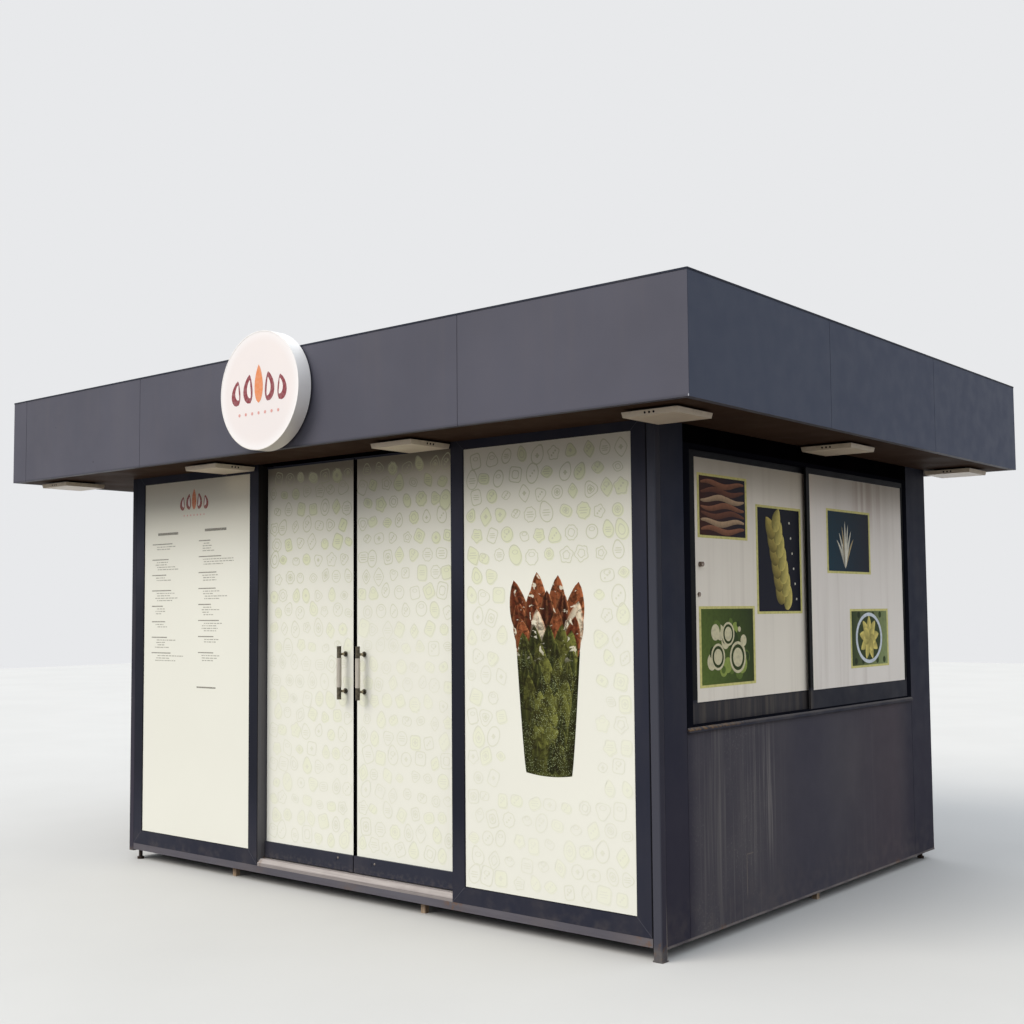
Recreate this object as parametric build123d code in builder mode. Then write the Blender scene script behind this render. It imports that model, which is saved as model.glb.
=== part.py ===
"""A street kiosk with glazed front, double glass door, sliding side windows and a deep roof box.

Millimetres, +Z up. The front looks along -Y and +X is to the right of someone facing it. The
origin is on the ground, in the middle of the footprint of the roof box and its round sign.
"""

import os

from build123d import *

os.makedirs("parts", exist_ok=True)

# Overall sizes of the body and the roof box
body_width = 4135.0
body_depth = 3161.0
overhang_left = 773.0
overhang_right = 454.0
overhang_front = 423.0
overhang_back = 410.0
soffit_height = 2480.0
fascia_height = 547.0
sign_reach = 100.0

roof_width = overhang_left + body_width + overhang_right
roof_right = roof_width / 2
roof_left = -roof_right
roof_back = (sign_reach + overhang_front + body_depth + overhang_back) / 2
roof_front = -roof_back + sign_reach
roof_top = soffit_height + fascia_height
body_right = roof_right - overhang_right
body_left = body_right - body_width
body_front = roof_front + overhang_front
body_back = body_front + body_depth
body_middle = (body_left + body_right) / 2

# Joints between pieces of one body
hairline = 0.6
panel_joint = 3.0
beam_gap = 1.0

# Base and floor
beam_bottom = 61.0
beam_height = 40.0
front_beam_depth = 100.0
side_beam_width = 60.0
joist_width = 60.0
joist_spacing = 1000.0
floor_thickness = 22.0
beam_top = beam_bottom + beam_height

# Posts
wall_rise = 40.0
post_width = 48.0
post_rounding = 7.0
post_plate_width = 56.0
post_plate_thickness = 5.0
mullion_width = 60.0
mullion_depth = 66.0
wall_top = soffit_height + wall_rise

# Supports under the base
foot_radius = 21.0
foot_neck_radius = 12.0
foot_plate_thickness = 14.0
front_foot_inset = 85.0
front_foot_setback = 32.0
rear_foot_inset = 73.0
wood_block_width = 31.0
wood_block_depth = 30.0
wood_block_setback = 50.0
left_block_offset = 273.0
right_block_offset = 235.0
side_block_offset = 1623.0

# Side walls
side_panel_thickness = 40.0
side_panel_setback = 3.0
side_panel_bottom = 52.0
panel_hem = 9.0
panel_hem_reach = 2.5
near_pier_width = 248.0
far_pier_width = 298.0
window_bottom = 1025.0
window_drop = 88.0
window_top = soffit_height - window_drop
back_panel_count = 4
side_wall_depth = side_panel_thickness + side_panel_setback
inside_left = body_left + side_wall_depth
inside_right = body_right - side_wall_depth
inside_back = body_back - side_panel_thickness

# Side windows
window_frame_width = 52.0
window_frame_head = 22.0
window_frame_depth = 70.0
window_frame_reach = 1.0
sash_thickness = 14.0
inner_track = 30.0
outer_track = 3.0
sash_rail_height = 97.0
sash_head_height = 29.0
near_stile_width = 90.0
far_stile_width = 18.0
meeting_stile_width = 34.0
meeting_stile_offset = 1267.0
hidden_stile_width = 50.0
hidden_glass_width = 15.0
sash_glass_setback = 4.0
window_glass = 6.0
window_foot_height = 18.0
sill_reach = 12.0
sill_lip = 13.0
sill_rise = 9.0
knob_offset = 436.0
knob_height = 1812.0
knob_radius = 12.0
knob_reach = 20.0
lock_offset = 424.0
lock_height = 1665.0
lock_radius = 11.0
lock_reach = 6.0

# Fixed frames of the front
member_width = 84.0
member_depth = 30.0
fixed_glass = 8.0
fixed_glass_setback = 6.0
frame_lift = 1.0
frame_bottom = beam_top + frame_lift

# Door opening and leaves
door_opening_width = 1538.0
right_stile_offset = 22.0
leaf_side_gap = 10.0
leaf_meeting_gap = 8.0
leaf_glass = 12.0
leaf_middle_setback = 70.0
threshold_nose = 17.0
threshold_height = 39.0
threshold_depth = 96.0
threshold_run = 24.0
groove_width = 3.0
groove_depth = 2.0
groove_spacing = 7.0
leaf_floor_gap = 7.0
leaf_rail_height = 91.0
leaf_rail_thickness = 40.0
leaf_head_height = 12.0
leaf_head_thickness = 26.0
leaf_drop = 13.0
transom_drop = 7.0
pivot_inset = 55.0
pivot_radius = 8.0
pivot_play = 0.5
pivot_reach = 14.0
floor_lock_radius = 7.0
floor_lock_reach = 2.0
floor_lock_offset = 137.0
floor_lock_rise = 60.0
door_opening_left = body_middle - door_opening_width / 2
door_opening_right = body_middle + door_opening_width / 2
left_frame_limits = (body_left + post_width + hairline, door_opening_left)
right_frame_limits = (door_opening_right + right_stile_offset, body_right - post_width - hairline)
threshold_top = beam_top + threshold_height
leaf_bottom = threshold_top + leaf_floor_gap
leaf_top = soffit_height - leaf_drop
transom_bottom = soffit_height - transom_drop

# Door handles
handle_offset = 72.0
handle_reach = 52.0
handle_radius = 14.0
handle_foot = 1102.0
handle_length = 298.0
sleeve_radius = 12.5
top_sleeve = 66.0
bottom_sleeve = 68.0
standoff_radius = 7.5
standoff_inset = 45.0
rosette_radius = 15.0
rosette_thickness = 6.0

# Roof box
fascia_thickness = 36.0
fascia_inset = 1.5
end_strip_width = 160.0
front_panel_count = 4
side_cassette_width = 1322.0
capping_height = 9.0
capping_width = 60.0
soffit_thickness = 12.0
ceiling_rise = 4.0
ceiling_thickness = 20.0
deck_drop = 97.0
deck_thickness = 40.0

# Lights below the soffit
light_size = 294.0
light_height = 25.0
light_taper = 11.0
light_plate_size = 200.0
light_gap = 12.0
lens_margin = 16.0
lens_thickness = 3.0
vent_radius = 5.5
vent_depth = 8.0
vent_spacing = 23.0
light_right_inset = 282.0
light_left_inset = 310.0
light_front_inset = 267.0
light_back_inset = 317.0
light_columns_count = 4
light_wall_gap = 2.0

# Round sign
sign_radius = 325.0
sign_offset = 24.0
sign_rise = 315.0
sign_standoff = 14.0
sign_rim_width = 5.0
sign_rim_reach = 4.0
sign_face_thickness = 3.0
bracket_width = 40.0
bracket_height = 380.0
bracket_spacing = 360.0


def block(x_limits, y_limits, z_limits, mode=Mode.ADD):
    """Adds or takes away one square-cornered block between two limits on each axis."""
    middle = [(low + high) / 2 for low, high in (x_limits, y_limits, z_limits)]
    with Locations(tuple(middle)):
        Box(x_limits[1] - x_limits[0], y_limits[1] - y_limits[0], z_limits[1] - z_limits[0], mode=mode)


def slab(plane, corners, depth):
    """Adds a flat piece with the given outline on a plane, thickened along its normal."""
    with BuildSketch(plane) as outline:
        with BuildLine():
            Polyline(*corners, close=True)
        make_face()
    extrude(outline.sketch, amount=depth)


def mitred_frame(plane, limits, heights, widths, depth):
    """Adds four members that meet on mitres, with a hairline between them.

    widths gives the stiles' width, the bottom rail's height and the top rail's height.
    """
    low, high = limits
    bottom, top = heights
    stile, foot, head = widths
    slab(plane, [(low, bottom), (low + stile, bottom + foot), (low + stile, top - head), (low, top)],
         depth)
    slab(plane, [(high, bottom), (high, top), (high - stile, top - head), (high - stile, bottom + foot)],
         depth)
    slab(plane, [(low + hairline, bottom), (high - hairline, bottom),
                 (high - stile - hairline, bottom + foot), (low + stile + hairline, bottom + foot)],
         depth)
    slab(plane, [(low + hairline, top), (low + stile + hairline, top - head),
                 (high - stile - hairline, top - head), (high - hairline, top)],
         depth)


def front_plane(y):
    """The upright plane through y that looks to the front, local axes X and Z."""
    return Plane.XZ.offset(-y)


def side_plane(x):
    """The upright plane through x that looks to the right, local axes Y and Z."""
    return Plane.YZ.offset(x)


# Base frame: front and back beams, side beams and joists, each a straight tube
beam_heights = (beam_bottom, beam_top)
with BuildPart() as base_frame:
    block((body_left + post_width + beam_gap, body_right - post_width - beam_gap),
          (body_front, body_front + front_beam_depth), beam_heights)
    block((inside_left, inside_right), (inside_back - side_beam_width, inside_back), beam_heights)
    joist_limits = (body_front + front_beam_depth + beam_gap, inside_back - side_beam_width - beam_gap)
    block((inside_left, inside_left + side_beam_width), joist_limits, beam_heights)
    block((inside_right - side_beam_width, inside_right), joist_limits, beam_heights)
    for place in (-joist_spacing, 0.0, joist_spacing):
        block((body_middle + place - joist_width / 2, body_middle + place + joist_width / 2),
              joist_limits, beam_heights)

# Steel feet: a round plate and a neck, under the front and back beams
feet = [
    (body_left + front_foot_inset, body_front + front_foot_setback),
    (inside_left + foot_radius, body_back - rear_foot_inset),
    (inside_right - foot_radius, body_back - rear_foot_inset),
]
with BuildPart() as steel_feet:
    with BuildSketch(Plane.XY) as foot_plates:
        with Locations(*feet):
            Circle(foot_radius)
    extrude(foot_plates.sketch, amount=foot_plate_thickness)
    with BuildSketch(Plane.XY.offset(foot_plate_thickness)) as foot_necks:
        with Locations(*feet):
            Circle(foot_neck_radius)
    extrude(foot_necks.sketch, amount=beam_bottom - foot_plate_thickness)

# Wooden packing blocks between the ground and the beams
block_heights = (0.0, beam_bottom)
half_block = wood_block_width / 2
with BuildPart() as wooden_blocks:
    for place in (door_opening_left - left_block_offset, door_opening_right - right_block_offset):
        front_edge = body_front + wood_block_setback
        back_edge = inside_back - wood_block_setback
        block((place - half_block, place + half_block), (front_edge, front_edge + wood_block_depth),
              block_heights)
        block((place - half_block, place + half_block), (back_edge - wood_block_depth, back_edge),
              block_heights)
    for edge in (inside_left, inside_right - wood_block_depth):
        block((edge, edge + wood_block_depth),
              (body_front + side_block_offset - half_block, body_front + side_block_offset + half_block),
              block_heights)

# Floor panel over the beams, notched round the rear posts
floor_front = body_front + member_depth + mullion_depth + beam_gap
notch = post_width + 2 * beam_gap


def rear_post_notches(heights):
    """Takes the two rear posts' room out of the panel being built."""
    block((inside_left, inside_left + notch), (inside_back - notch, inside_back), heights, Mode.SUBTRACT)
    block((inside_right - notch, inside_right), (inside_back - notch, inside_back), heights, Mode.SUBTRACT)


with BuildPart() as floor_panel:
    floor_heights = (beam_top, beam_top + floor_thickness)
    block((inside_left, inside_right), (floor_front, inside_back), floor_heights)
    rear_post_notches(floor_heights)

# Corner posts: rounded square tube; the front right one stands on a plate on the ground
rear_post_low = inside_back - post_width - beam_gap
posts = [
    (body_left, body_front, side_panel_bottom),
    (body_right - post_width, body_front, 0.0),
    (inside_left + beam_gap, rear_post_low, beam_top),
    (inside_right - post_width - beam_gap, rear_post_low, beam_top),
]
with BuildPart() as corner_posts:
    for x, y, bottom in posts:
        with BuildSketch(Plane.XY.offset(bottom)) as post_outline:
            with Locations((x + post_width / 2, y + post_width / 2)):
                RectangleRounded(post_width, post_width, post_rounding)
        extrude(post_outline.sketch, amount=wall_top - bottom)
    with BuildSketch(Plane.XY) as plate_outline:
        with Locations((body_right - post_width / 2, body_front + post_width / 2)):
            RectangleRounded(post_plate_width, post_plate_width, post_rounding)
    extrude(plate_outline.sketch, amount=post_plate_thickness)

# Posts on both sides of the doorway, behind the fixed frames
mullion_limits = (body_front + member_depth, body_front + member_depth + mullion_depth)
with BuildPart() as doorway_posts:
    block((door_opening_left - mullion_width, door_opening_left), mullion_limits, (beam_top, wall_top))
    block((door_opening_right, door_opening_right + mullion_width), mullion_limits, (beam_top, wall_top))

# Transom over the doors with the sockets of the upper pivots and a lip to the soffit
leaf_middle_y = body_front + leaf_middle_setback
left_pivot_x = door_opening_left + leaf_side_gap + pivot_inset
right_pivot_x = door_opening_right - leaf_side_gap - pivot_inset
transom_limits = (door_opening_left + hairline, door_opening_right - hairline)
with BuildPart() as door_transom:
    block(transom_limits, mullion_limits, (transom_bottom, wall_top))
    block(transom_limits, (body_front, mullion_limits[0] + hairline), (soffit_height, wall_top))
    with BuildSketch(Plane.XY.offset(transom_bottom)) as sockets:
        with Locations((left_pivot_x, leaf_middle_y), (right_pivot_x, leaf_middle_y)):
            Circle(pivot_radius + pivot_play)
    extrude(sockets.sketch, amount=pivot_reach + pivot_play, mode=Mode.SUBTRACT)

# Threshold: an extruded ramp with grooves and the sockets of the lower pivots
threshold_limits = (door_opening_left + hairline, right_frame_limits[0] - hairline)
threshold_length = threshold_limits[1] - threshold_limits[0]
ramp_end = body_front + threshold_run
groove_places = [(ramp_end + groove_spacing * place, threshold_top) for place in (1, 2, 3)]
with BuildPart() as threshold:
    slab(side_plane(threshold_limits[0]),
         [(body_front, beam_top), (body_front + threshold_depth, beam_top),
          (body_front + threshold_depth, threshold_top), (ramp_end, threshold_top),
          (body_front, beam_top + threshold_nose)],
         threshold_length)
    with BuildSketch(side_plane(threshold_limits[0])) as grooves:
        with Locations(*groove_places):
            Rectangle(groove_width, 2 * groove_depth)
    extrude(grooves.sketch, amount=threshold_length, mode=Mode.SUBTRACT)
    with BuildSketch(Plane.XY.offset(threshold_top)) as lower_sockets:
        with Locations((left_pivot_x, leaf_middle_y), (right_pivot_x, leaf_middle_y)):
            Circle(pivot_radius + pivot_play)
    extrude(lower_sockets.sketch, amount=-(pivot_reach + pivot_play), mode=Mode.SUBTRACT)
    block((door_opening_right - hairline, threshold_limits[1]),
          (mullion_limits[0] - hairline, mullion_limits[1]), (beam_top, threshold_top), Mode.SUBTRACT)

# Fixed frames and glass of the front
frame_heights = (frame_bottom, wall_top)
frame_widths = (member_width, member_width, member_width)


def fixed_pane(limits):
    """Adds the glass of one fixed frame, from member to member."""
    block((limits[0] + member_width, limits[1] - member_width),
          (body_front + fixed_glass_setback, body_front + fixed_glass_setback + fixed_glass),
          (frame_bottom + member_width, wall_top - member_width))


with BuildPart() as front_left_frame:
    mitred_frame(front_plane(body_front), left_frame_limits, frame_heights, frame_widths, -member_depth)
with BuildPart() as front_left_glass:
    fixed_pane(left_frame_limits)
with BuildPart() as front_right_frame:
    mitred_frame(front_plane(body_front), right_frame_limits, frame_heights, frame_widths, -member_depth)
with BuildPart() as front_right_glass:
    fixed_pane(right_frame_limits)

# Right wall: piers before and behind the window, lower panel and header
wall_outer = body_right - side_panel_setback
wall_limits = (inside_right, wall_outer)
near_edge = body_front + near_pier_width
far_edge = body_back - far_pier_width
pier_start = body_front + post_width + beam_gap


def hem(limits):
    """Adds the folded hem along the foot of one outer panel."""
    block((wall_outer, wall_outer + panel_hem_reach), limits,
          (side_panel_bottom, side_panel_bottom + panel_hem))


with BuildPart() as right_wall_piers:
    for limits in ((pier_start, near_edge - panel_joint), (far_edge + panel_joint, body_back)):
        block(wall_limits, limits, (side_panel_bottom, wall_top))
        hem(limits)
with BuildPart() as right_lower_panel:
    block(wall_limits, (near_edge, far_edge), (side_panel_bottom, window_bottom))
    hem((near_edge, far_edge))
with BuildPart() as window_headers:
    block(wall_limits, (near_edge, far_edge), (window_top, wall_top))
    mirror(about=Plane.YZ.offset(body_middle))

# Right window: frame, two sliding sashes, glass, knob and lock
frame_outer = wall_outer + window_frame_reach
with BuildPart() as right_window_frame:
    mitred_frame(side_plane(frame_outer - window_frame_depth), (near_edge, far_edge),
                 (window_bottom, window_top), (window_frame_width, window_foot_height, window_frame_head),
                 window_frame_depth)
meeting_start = near_edge + meeting_stile_offset
near_sash_end = meeting_start + meeting_stile_width + hidden_glass_width + hidden_stile_width
near_sash = (near_edge + window_frame_width, near_sash_end)
far_sash = (meeting_start, far_edge - window_frame_width)
sash_low = window_bottom + window_foot_height
sash_high = window_top - window_frame_head
near_sash_outer = frame_outer - inner_track
far_sash_outer = frame_outer - outer_track


def sash(limits, outer, stiles):
    """Adds the two stiles and two rails of one window sash as straight bars."""
    depth = (outer - sash_thickness, outer)
    rail_limits = (limits[0] + stiles[0] + hairline, limits[1] - stiles[1] - hairline)
    block(depth, (limits[0], limits[0] + stiles[0]), (sash_low, sash_high))
    block(depth, (limits[1] - stiles[1], limits[1]), (sash_low, sash_high))
    block(depth, rail_limits, (sash_low, sash_low + sash_rail_height))
    block(depth, rail_limits, (sash_high - sash_head_height, sash_high))


def sash_glass(limits, outer, stiles):
    """Adds the glass of one sash, set a little behind the face of its bars."""
    block((outer - sash_glass_setback - window_glass, outer - sash_glass_setback),
          (limits[0] + stiles[0] + hairline, limits[1] - stiles[1] - hairline),
          (sash_low + sash_rail_height, sash_high - sash_head_height))


near_stiles = (near_stile_width, hidden_stile_width)
far_stiles = (meeting_stile_width, far_stile_width)
with BuildPart() as right_window_sashes:
    sash(near_sash, near_sash_outer, near_stiles)
    sash(far_sash, far_sash_outer, far_stiles)
with BuildPart() as right_window_glass:
    sash_glass(near_sash, near_sash_outer, near_stiles)
    sash_glass(far_sash, far_sash_outer, far_stiles)
with BuildPart() as window_knob:
    for offset, height, radius, reach in ((knob_offset, knob_height, knob_radius, knob_reach),
                                          (lock_offset, lock_height, lock_radius, lock_reach)):
        with BuildSketch(side_plane(near_sash_outer - sash_glass_setback)) as knob_outline:
            with Locations((body_front + offset, height)):
                Circle(radius)
        extrude(knob_outline.sketch, amount=reach)

# Sills: a thin sloping ledge below each window
with BuildPart() as window_sills:
    slab(front_plane(near_edge),
         [(frame_outer, window_bottom - sill_lip), (frame_outer + sill_reach, window_bottom - sill_lip),
          (frame_outer + sill_reach, window_bottom), (frame_outer, window_bottom + sill_rise)],
         -(far_edge - near_edge))
    mirror(about=Plane.YZ.offset(body_middle))

# Left wall and window: the same pieces mirrored about the body's middle
middle_plane = Plane.YZ.offset(body_middle)
with BuildPart() as left_wall_piers:
    mirror(right_wall_piers.part, about=middle_plane)
with BuildPart() as left_lower_panel:
    mirror(right_lower_panel.part, about=middle_plane)
with BuildPart() as left_window_frame:
    mirror(right_window_frame.part, about=middle_plane)
with BuildPart() as left_window_sashes:
    mirror(right_window_sashes.part, about=middle_plane)
with BuildPart() as left_window_glass:
    mirror(right_window_glass.part, about=middle_plane)

# Back wall panels with open joints
back_pitch = (inside_right - inside_left) / back_panel_count
with BuildPart() as back_wall_panels:
    for place in range(back_panel_count):
        block((inside_left + place * back_pitch + panel_joint / 2,
               inside_left + (place + 1) * back_pitch - panel_joint / 2),
              (body_back - side_panel_thickness, body_back), (side_panel_bottom, wall_top))

# Ceiling inside the walls, notched like the floor
ceiling_bottom = soffit_height + ceiling_rise
ceiling_heights = (ceiling_bottom, ceiling_bottom + ceiling_thickness)
with BuildPart() as ceiling_panel:
    block((inside_left, inside_right), (floor_front, inside_back), ceiling_heights)
    rear_post_notches(ceiling_heights)

# Roof box: soffit, fascia cassettes, capping and deck
fascia_left_x = roof_left + fascia_inset
fascia_right_x = roof_right - fascia_inset
fascia_front_y = roof_front + fascia_inset
fascia_back_y = roof_back - fascia_inset
fascia_top = roof_top - capping_height
inner_left = fascia_left_x + fascia_thickness
inner_right = fascia_right_x - fascia_thickness
inner_front = fascia_front_y + fascia_thickness
inner_back = fascia_back_y - fascia_thickness

with BuildPart() as soffit_panels:
    low_plane = Plane.XY.offset(soffit_height)
    slab(low_plane, [(inner_left + hairline, inner_front), (inner_right - hairline, inner_front),
                     (body_right - hairline, body_front), (body_left + hairline, body_front)],
         soffit_thickness)
    slab(low_plane, [(inner_left + hairline, inner_back), (body_left + hairline, body_back),
                     (body_right - hairline, body_back), (inner_right - hairline, inner_back)],
         soffit_thickness)
    slab(low_plane, [(inner_left, inner_front), (body_left, body_front), (body_left, body_back),
                     (inner_left, inner_back)],
         soffit_thickness)
    slab(low_plane, [(inner_right, inner_front), (inner_right, inner_back), (body_right, body_back),
                     (body_right, body_front)],
         soffit_thickness)


def fascia_row(marks, outer, inner, along_x):
    """Adds a row of fascia cassettes between marks, mitred at the two corners of the roof."""
    seam_cut = (panel_joint / 2, panel_joint / 2)
    corner_cut = (hairline, fascia_thickness + hairline)
    for low, high in zip(marks[:-1], marks[1:]):
        low_cut = corner_cut if low == marks[0] else seam_cut
        high_cut = corner_cut if high == marks[-1] else seam_cut
        corners = [(low + low_cut[0], outer), (high - high_cut[0], outer),
                   (high - high_cut[1], inner), (low + low_cut[1], inner)]
        if not along_x:
            corners = [(across, along) for along, across in corners]
        slab(Plane.XY.offset(soffit_height), corners, fascia_top - soffit_height)


front_panel_width = (roof_width - end_strip_width) / front_panel_count
front_marks = [fascia_left_x]
front_marks += [roof_right - front_panel_width * place for place in (4, 3, 2, 1)]
front_marks += [fascia_right_x]
side_marks = [fascia_front_y, roof_front + side_cassette_width, roof_front + 2 * side_cassette_width,
              fascia_back_y]
with BuildPart() as front_fascia:
    fascia_row(front_marks, fascia_front_y, inner_front, True)
with BuildPart() as back_fascia:
    fascia_row(front_marks, fascia_back_y, inner_back, True)
with BuildPart() as right_fascia:
    fascia_row(side_marks, fascia_right_x, inner_right, False)
with BuildPart() as left_fascia:
    fascia_row(side_marks, fascia_left_x, inner_left, False)

with BuildPart() as roof_capping:
    mitred_frame(Plane.XY.offset(fascia_top), (roof_left, roof_right), (roof_front, roof_back),
                 (capping_width, capping_width, capping_width), capping_height)

deck_top = roof_top - deck_drop
with BuildPart() as roof_deck:
    block((inner_left, inner_right), (inner_front, inner_back), (deck_top - deck_thickness, deck_top))

# Lights: a plate on the soffit, a square tray with drawn-in sides, a lens and vent holes
first_column = roof_left + light_left_inset
last_column = roof_right - light_right_inset
column_pitch = (last_column - first_column) / (light_columns_count - 1)
columns = [first_column + column_pitch * place for place in range(light_columns_count)]
front_row = roof_front + light_front_inset
back_row = roof_back - light_back_inset
middle_row = (front_row + back_row) / 2
rear_wall_row = body_back + light_size / 2 + light_wall_gap
outer_places = [(x, y) for x in (first_column, last_column) for y in (front_row, middle_row, back_row)]
inner_places = [(x, y) for x in columns[1:-1] for y in (front_row, rear_wall_row)]
light_places = outer_places + inner_places
tray_top = soffit_height - light_gap
tray_bottom = tray_top - light_height
lens_size = light_size - 2 * lens_margin


def vent_holes(plane, middle):
    """Drills the row of three vent holes into one side of a tray."""
    with BuildSketch(plane) as holes:
        with Locations((middle, tray_top - light_height / 2)):
            with GridLocations(vent_spacing, 0, 3, 1):
                Circle(vent_radius)
    extrude(holes.sketch, amount=-vent_depth, mode=Mode.SUBTRACT)


with BuildPart() as light_trays:
    with BuildSketch(Plane.XY.offset(soffit_height)) as plates:
        with Locations(*light_places):
            Rectangle(light_plate_size, light_plate_size)
    extrude(plates.sketch, amount=-light_gap)
    with BuildSketch(Plane.XY.offset(tray_top)) as trays:
        with Locations(*light_places):
            Rectangle(light_size, light_size)
    extrude(trays.sketch, amount=-light_height, taper=light_taper)
    with BuildSketch(Plane.XY.offset(tray_bottom)) as lens_seats:
        with Locations(*light_places):
            Rectangle(lens_size, lens_size)
    extrude(lens_seats.sketch, amount=lens_thickness, mode=Mode.SUBTRACT)
    for x, y in outer_places:
        vent_holes(front_plane(y - light_size / 2), x)
    for x, y in inner_places:
        vent_holes(side_plane(x + light_size / 2), y)
with BuildPart() as light_lenses:
    with BuildSketch(Plane.XY.offset(tray_bottom)) as lens_outlines:
        with Locations(*light_places):
            Rectangle(lens_size, lens_size)
    extrude(lens_outlines.sketch, amount=lens_thickness)

# Round sign: brackets, drum with a raised rim and a face set into it
sign_place = (sign_offset, soffit_height + sign_rise)
sign_back_y = fascia_front_y - sign_standoff
drum_front_y = roof_front - sign_reach + sign_rim_reach
with BuildPart() as sign_brackets:
    for offset in (-bracket_spacing / 2, bracket_spacing / 2):
        middle = sign_offset + offset
        block((middle - bracket_width / 2, middle + bracket_width / 2), (sign_back_y, fascia_front_y),
              (sign_place[1] - bracket_height / 2, sign_place[1] + bracket_height / 2))
with BuildPart() as sign_drum:
    with BuildSketch(front_plane(sign_back_y)) as drum_outline:
        with Locations(sign_place):
            Circle(sign_radius)
    extrude(drum_outline.sketch, amount=sign_back_y - drum_front_y)
    with BuildSketch(front_plane(drum_front_y)) as rim_outline:
        with Locations(sign_place):
            Circle(sign_radius)
            Circle(sign_radius - sign_rim_width, mode=Mode.SUBTRACT)
    extrude(rim_outline.sketch, amount=sign_rim_reach)
with BuildPart() as sign_face:
    with BuildSketch(front_plane(drum_front_y)) as face_outline:
        with Locations(sign_place):
            Circle(sign_radius - sign_rim_width - hairline)
    extrude(face_outline.sketch, amount=sign_face_thickness)

# Door leaves: glass between a bottom rail and a slim head rail, with pivots and handles
left_leaf = (door_opening_left + leaf_side_gap, body_middle - leaf_meeting_gap / 2)
right_leaf = (body_middle + leaf_meeting_gap / 2, door_opening_right - leaf_side_gap)
glass_front_y = leaf_middle_y - leaf_glass / 2
glass_back_y = leaf_middle_y + leaf_glass / 2
rail_front_y = leaf_middle_y - leaf_rail_thickness / 2
rail_back_y = leaf_middle_y + leaf_rail_thickness / 2
leaf_glass_heights = (leaf_bottom + leaf_rail_height, leaf_top - leaf_head_height)
handle_top = handle_foot + handle_length


def leaf_pane(limits):
    """Adds the glass of one leaf, from the bottom rail to the head rail."""
    block(limits, (glass_front_y, glass_back_y), leaf_glass_heights)


def round_bar(place, bottom, radius, length):
    """Adds one upright round bar; a negative length runs downwards."""
    with BuildSketch(Plane.XY.offset(bottom)) as section:
        with Locations(place):
            Circle(radius)
    extrude(section.sketch, amount=length)


def leaf_rails(limits, pivot_x, lock_x):
    """Adds the two rails of one leaf, its pivots and the cap of its floor lock."""
    block(limits, (rail_front_y, rail_back_y), (leaf_bottom, leaf_glass_heights[0]))
    block(limits, (leaf_middle_y - leaf_head_thickness / 2, leaf_middle_y + leaf_head_thickness / 2),
          (leaf_glass_heights[1], leaf_top))
    pivot_place = (pivot_x, leaf_middle_y)
    round_bar(pivot_place, leaf_bottom, pivot_radius, -(leaf_floor_gap + pivot_reach))
    round_bar(pivot_place, leaf_top, pivot_radius, transom_bottom - leaf_top + pivot_reach)
    with BuildSketch(front_plane(rail_front_y)) as lock_cap:
        with Locations((lock_x, leaf_bottom + floor_lock_rise)):
            Circle(floor_lock_radius)
    extrude(lock_cap.sketch, amount=floor_lock_reach)


def handle_pair(x):
    """Adds the outside and the inside pull handle at x: bar, end sleeves, stand-offs, rosettes."""
    for face_y, outward in ((glass_front_y, -1.0), (glass_back_y, 1.0)):
        bar_place = (x, face_y + outward * handle_reach)
        round_bar(bar_place, handle_foot, sleeve_radius, bottom_sleeve)
        round_bar(bar_place, handle_foot + bottom_sleeve, handle_radius,
                  handle_length - bottom_sleeve - top_sleeve)
        round_bar(bar_place, handle_top - top_sleeve, sleeve_radius, top_sleeve)
        for radius, reach in ((standoff_radius, handle_reach), (rosette_radius, rosette_thickness)):
            with BuildSketch(front_plane(face_y)) as standoffs:
                with Locations((x, handle_foot + standoff_inset), (x, handle_top - standoff_inset)):
                    Circle(radius)
            extrude(standoffs.sketch, amount=-outward * reach)


with BuildPart() as left_door_glass:
    leaf_pane(left_leaf)
with BuildPart() as left_door_rails:
    leaf_rails(left_leaf, left_pivot_x, left_leaf[1] - floor_lock_offset)
with BuildPart() as left_door_handles:
    handle_pair(left_leaf[1] - handle_offset)
with BuildPart() as right_door_glass:
    leaf_pane(right_leaf)
with BuildPart() as right_door_rails:
    leaf_rails(right_leaf, right_pivot_x, right_leaf[0] + floor_lock_offset)
with BuildPart() as right_door_handles:
    handle_pair(right_leaf[0] + handle_offset)

pieces = {
    "base_frame": base_frame,
    "steel_feet": steel_feet,
    "wooden_blocks": wooden_blocks,
    "floor_panel": floor_panel,
    "corner_posts": corner_posts,
    "doorway_posts": doorway_posts,
    "door_transom": door_transom,
    "threshold": threshold,
    "front_left_frame": front_left_frame,
    "front_left_glass": front_left_glass,
    "front_right_frame": front_right_frame,
    "front_right_glass": front_right_glass,
    "right_wall_piers": right_wall_piers,
    "right_lower_panel": right_lower_panel,
    "window_headers": window_headers,
    "right_window_frame": right_window_frame,
    "right_window_sashes": right_window_sashes,
    "right_window_glass": right_window_glass,
    "window_knob": window_knob,
    "window_sills": window_sills,
    "left_wall_piers": left_wall_piers,
    "left_lower_panel": left_lower_panel,
    "left_window_frame": left_window_frame,
    "left_window_sashes": left_window_sashes,
    "left_window_glass": left_window_glass,
    "back_wall_panels": back_wall_panels,
    "ceiling_panel": ceiling_panel,
    "soffit_panels": soffit_panels,
    "front_fascia": front_fascia,
    "right_fascia": right_fascia,
    "back_fascia": back_fascia,
    "left_fascia": left_fascia,
    "roof_capping": roof_capping,
    "roof_deck": roof_deck,
    "light_trays": light_trays,
    "light_lenses": light_lenses,
    "sign_brackets": sign_brackets,
    "sign_drum": sign_drum,
    "sign_face": sign_face,
    "left_door_glass": left_door_glass,
    "left_door_rails": left_door_rails,
    "left_door_handles": left_door_handles,
    "right_door_glass": right_door_glass,
    "right_door_rails": right_door_rails,
    "right_door_handles": right_door_handles,
}
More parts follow.
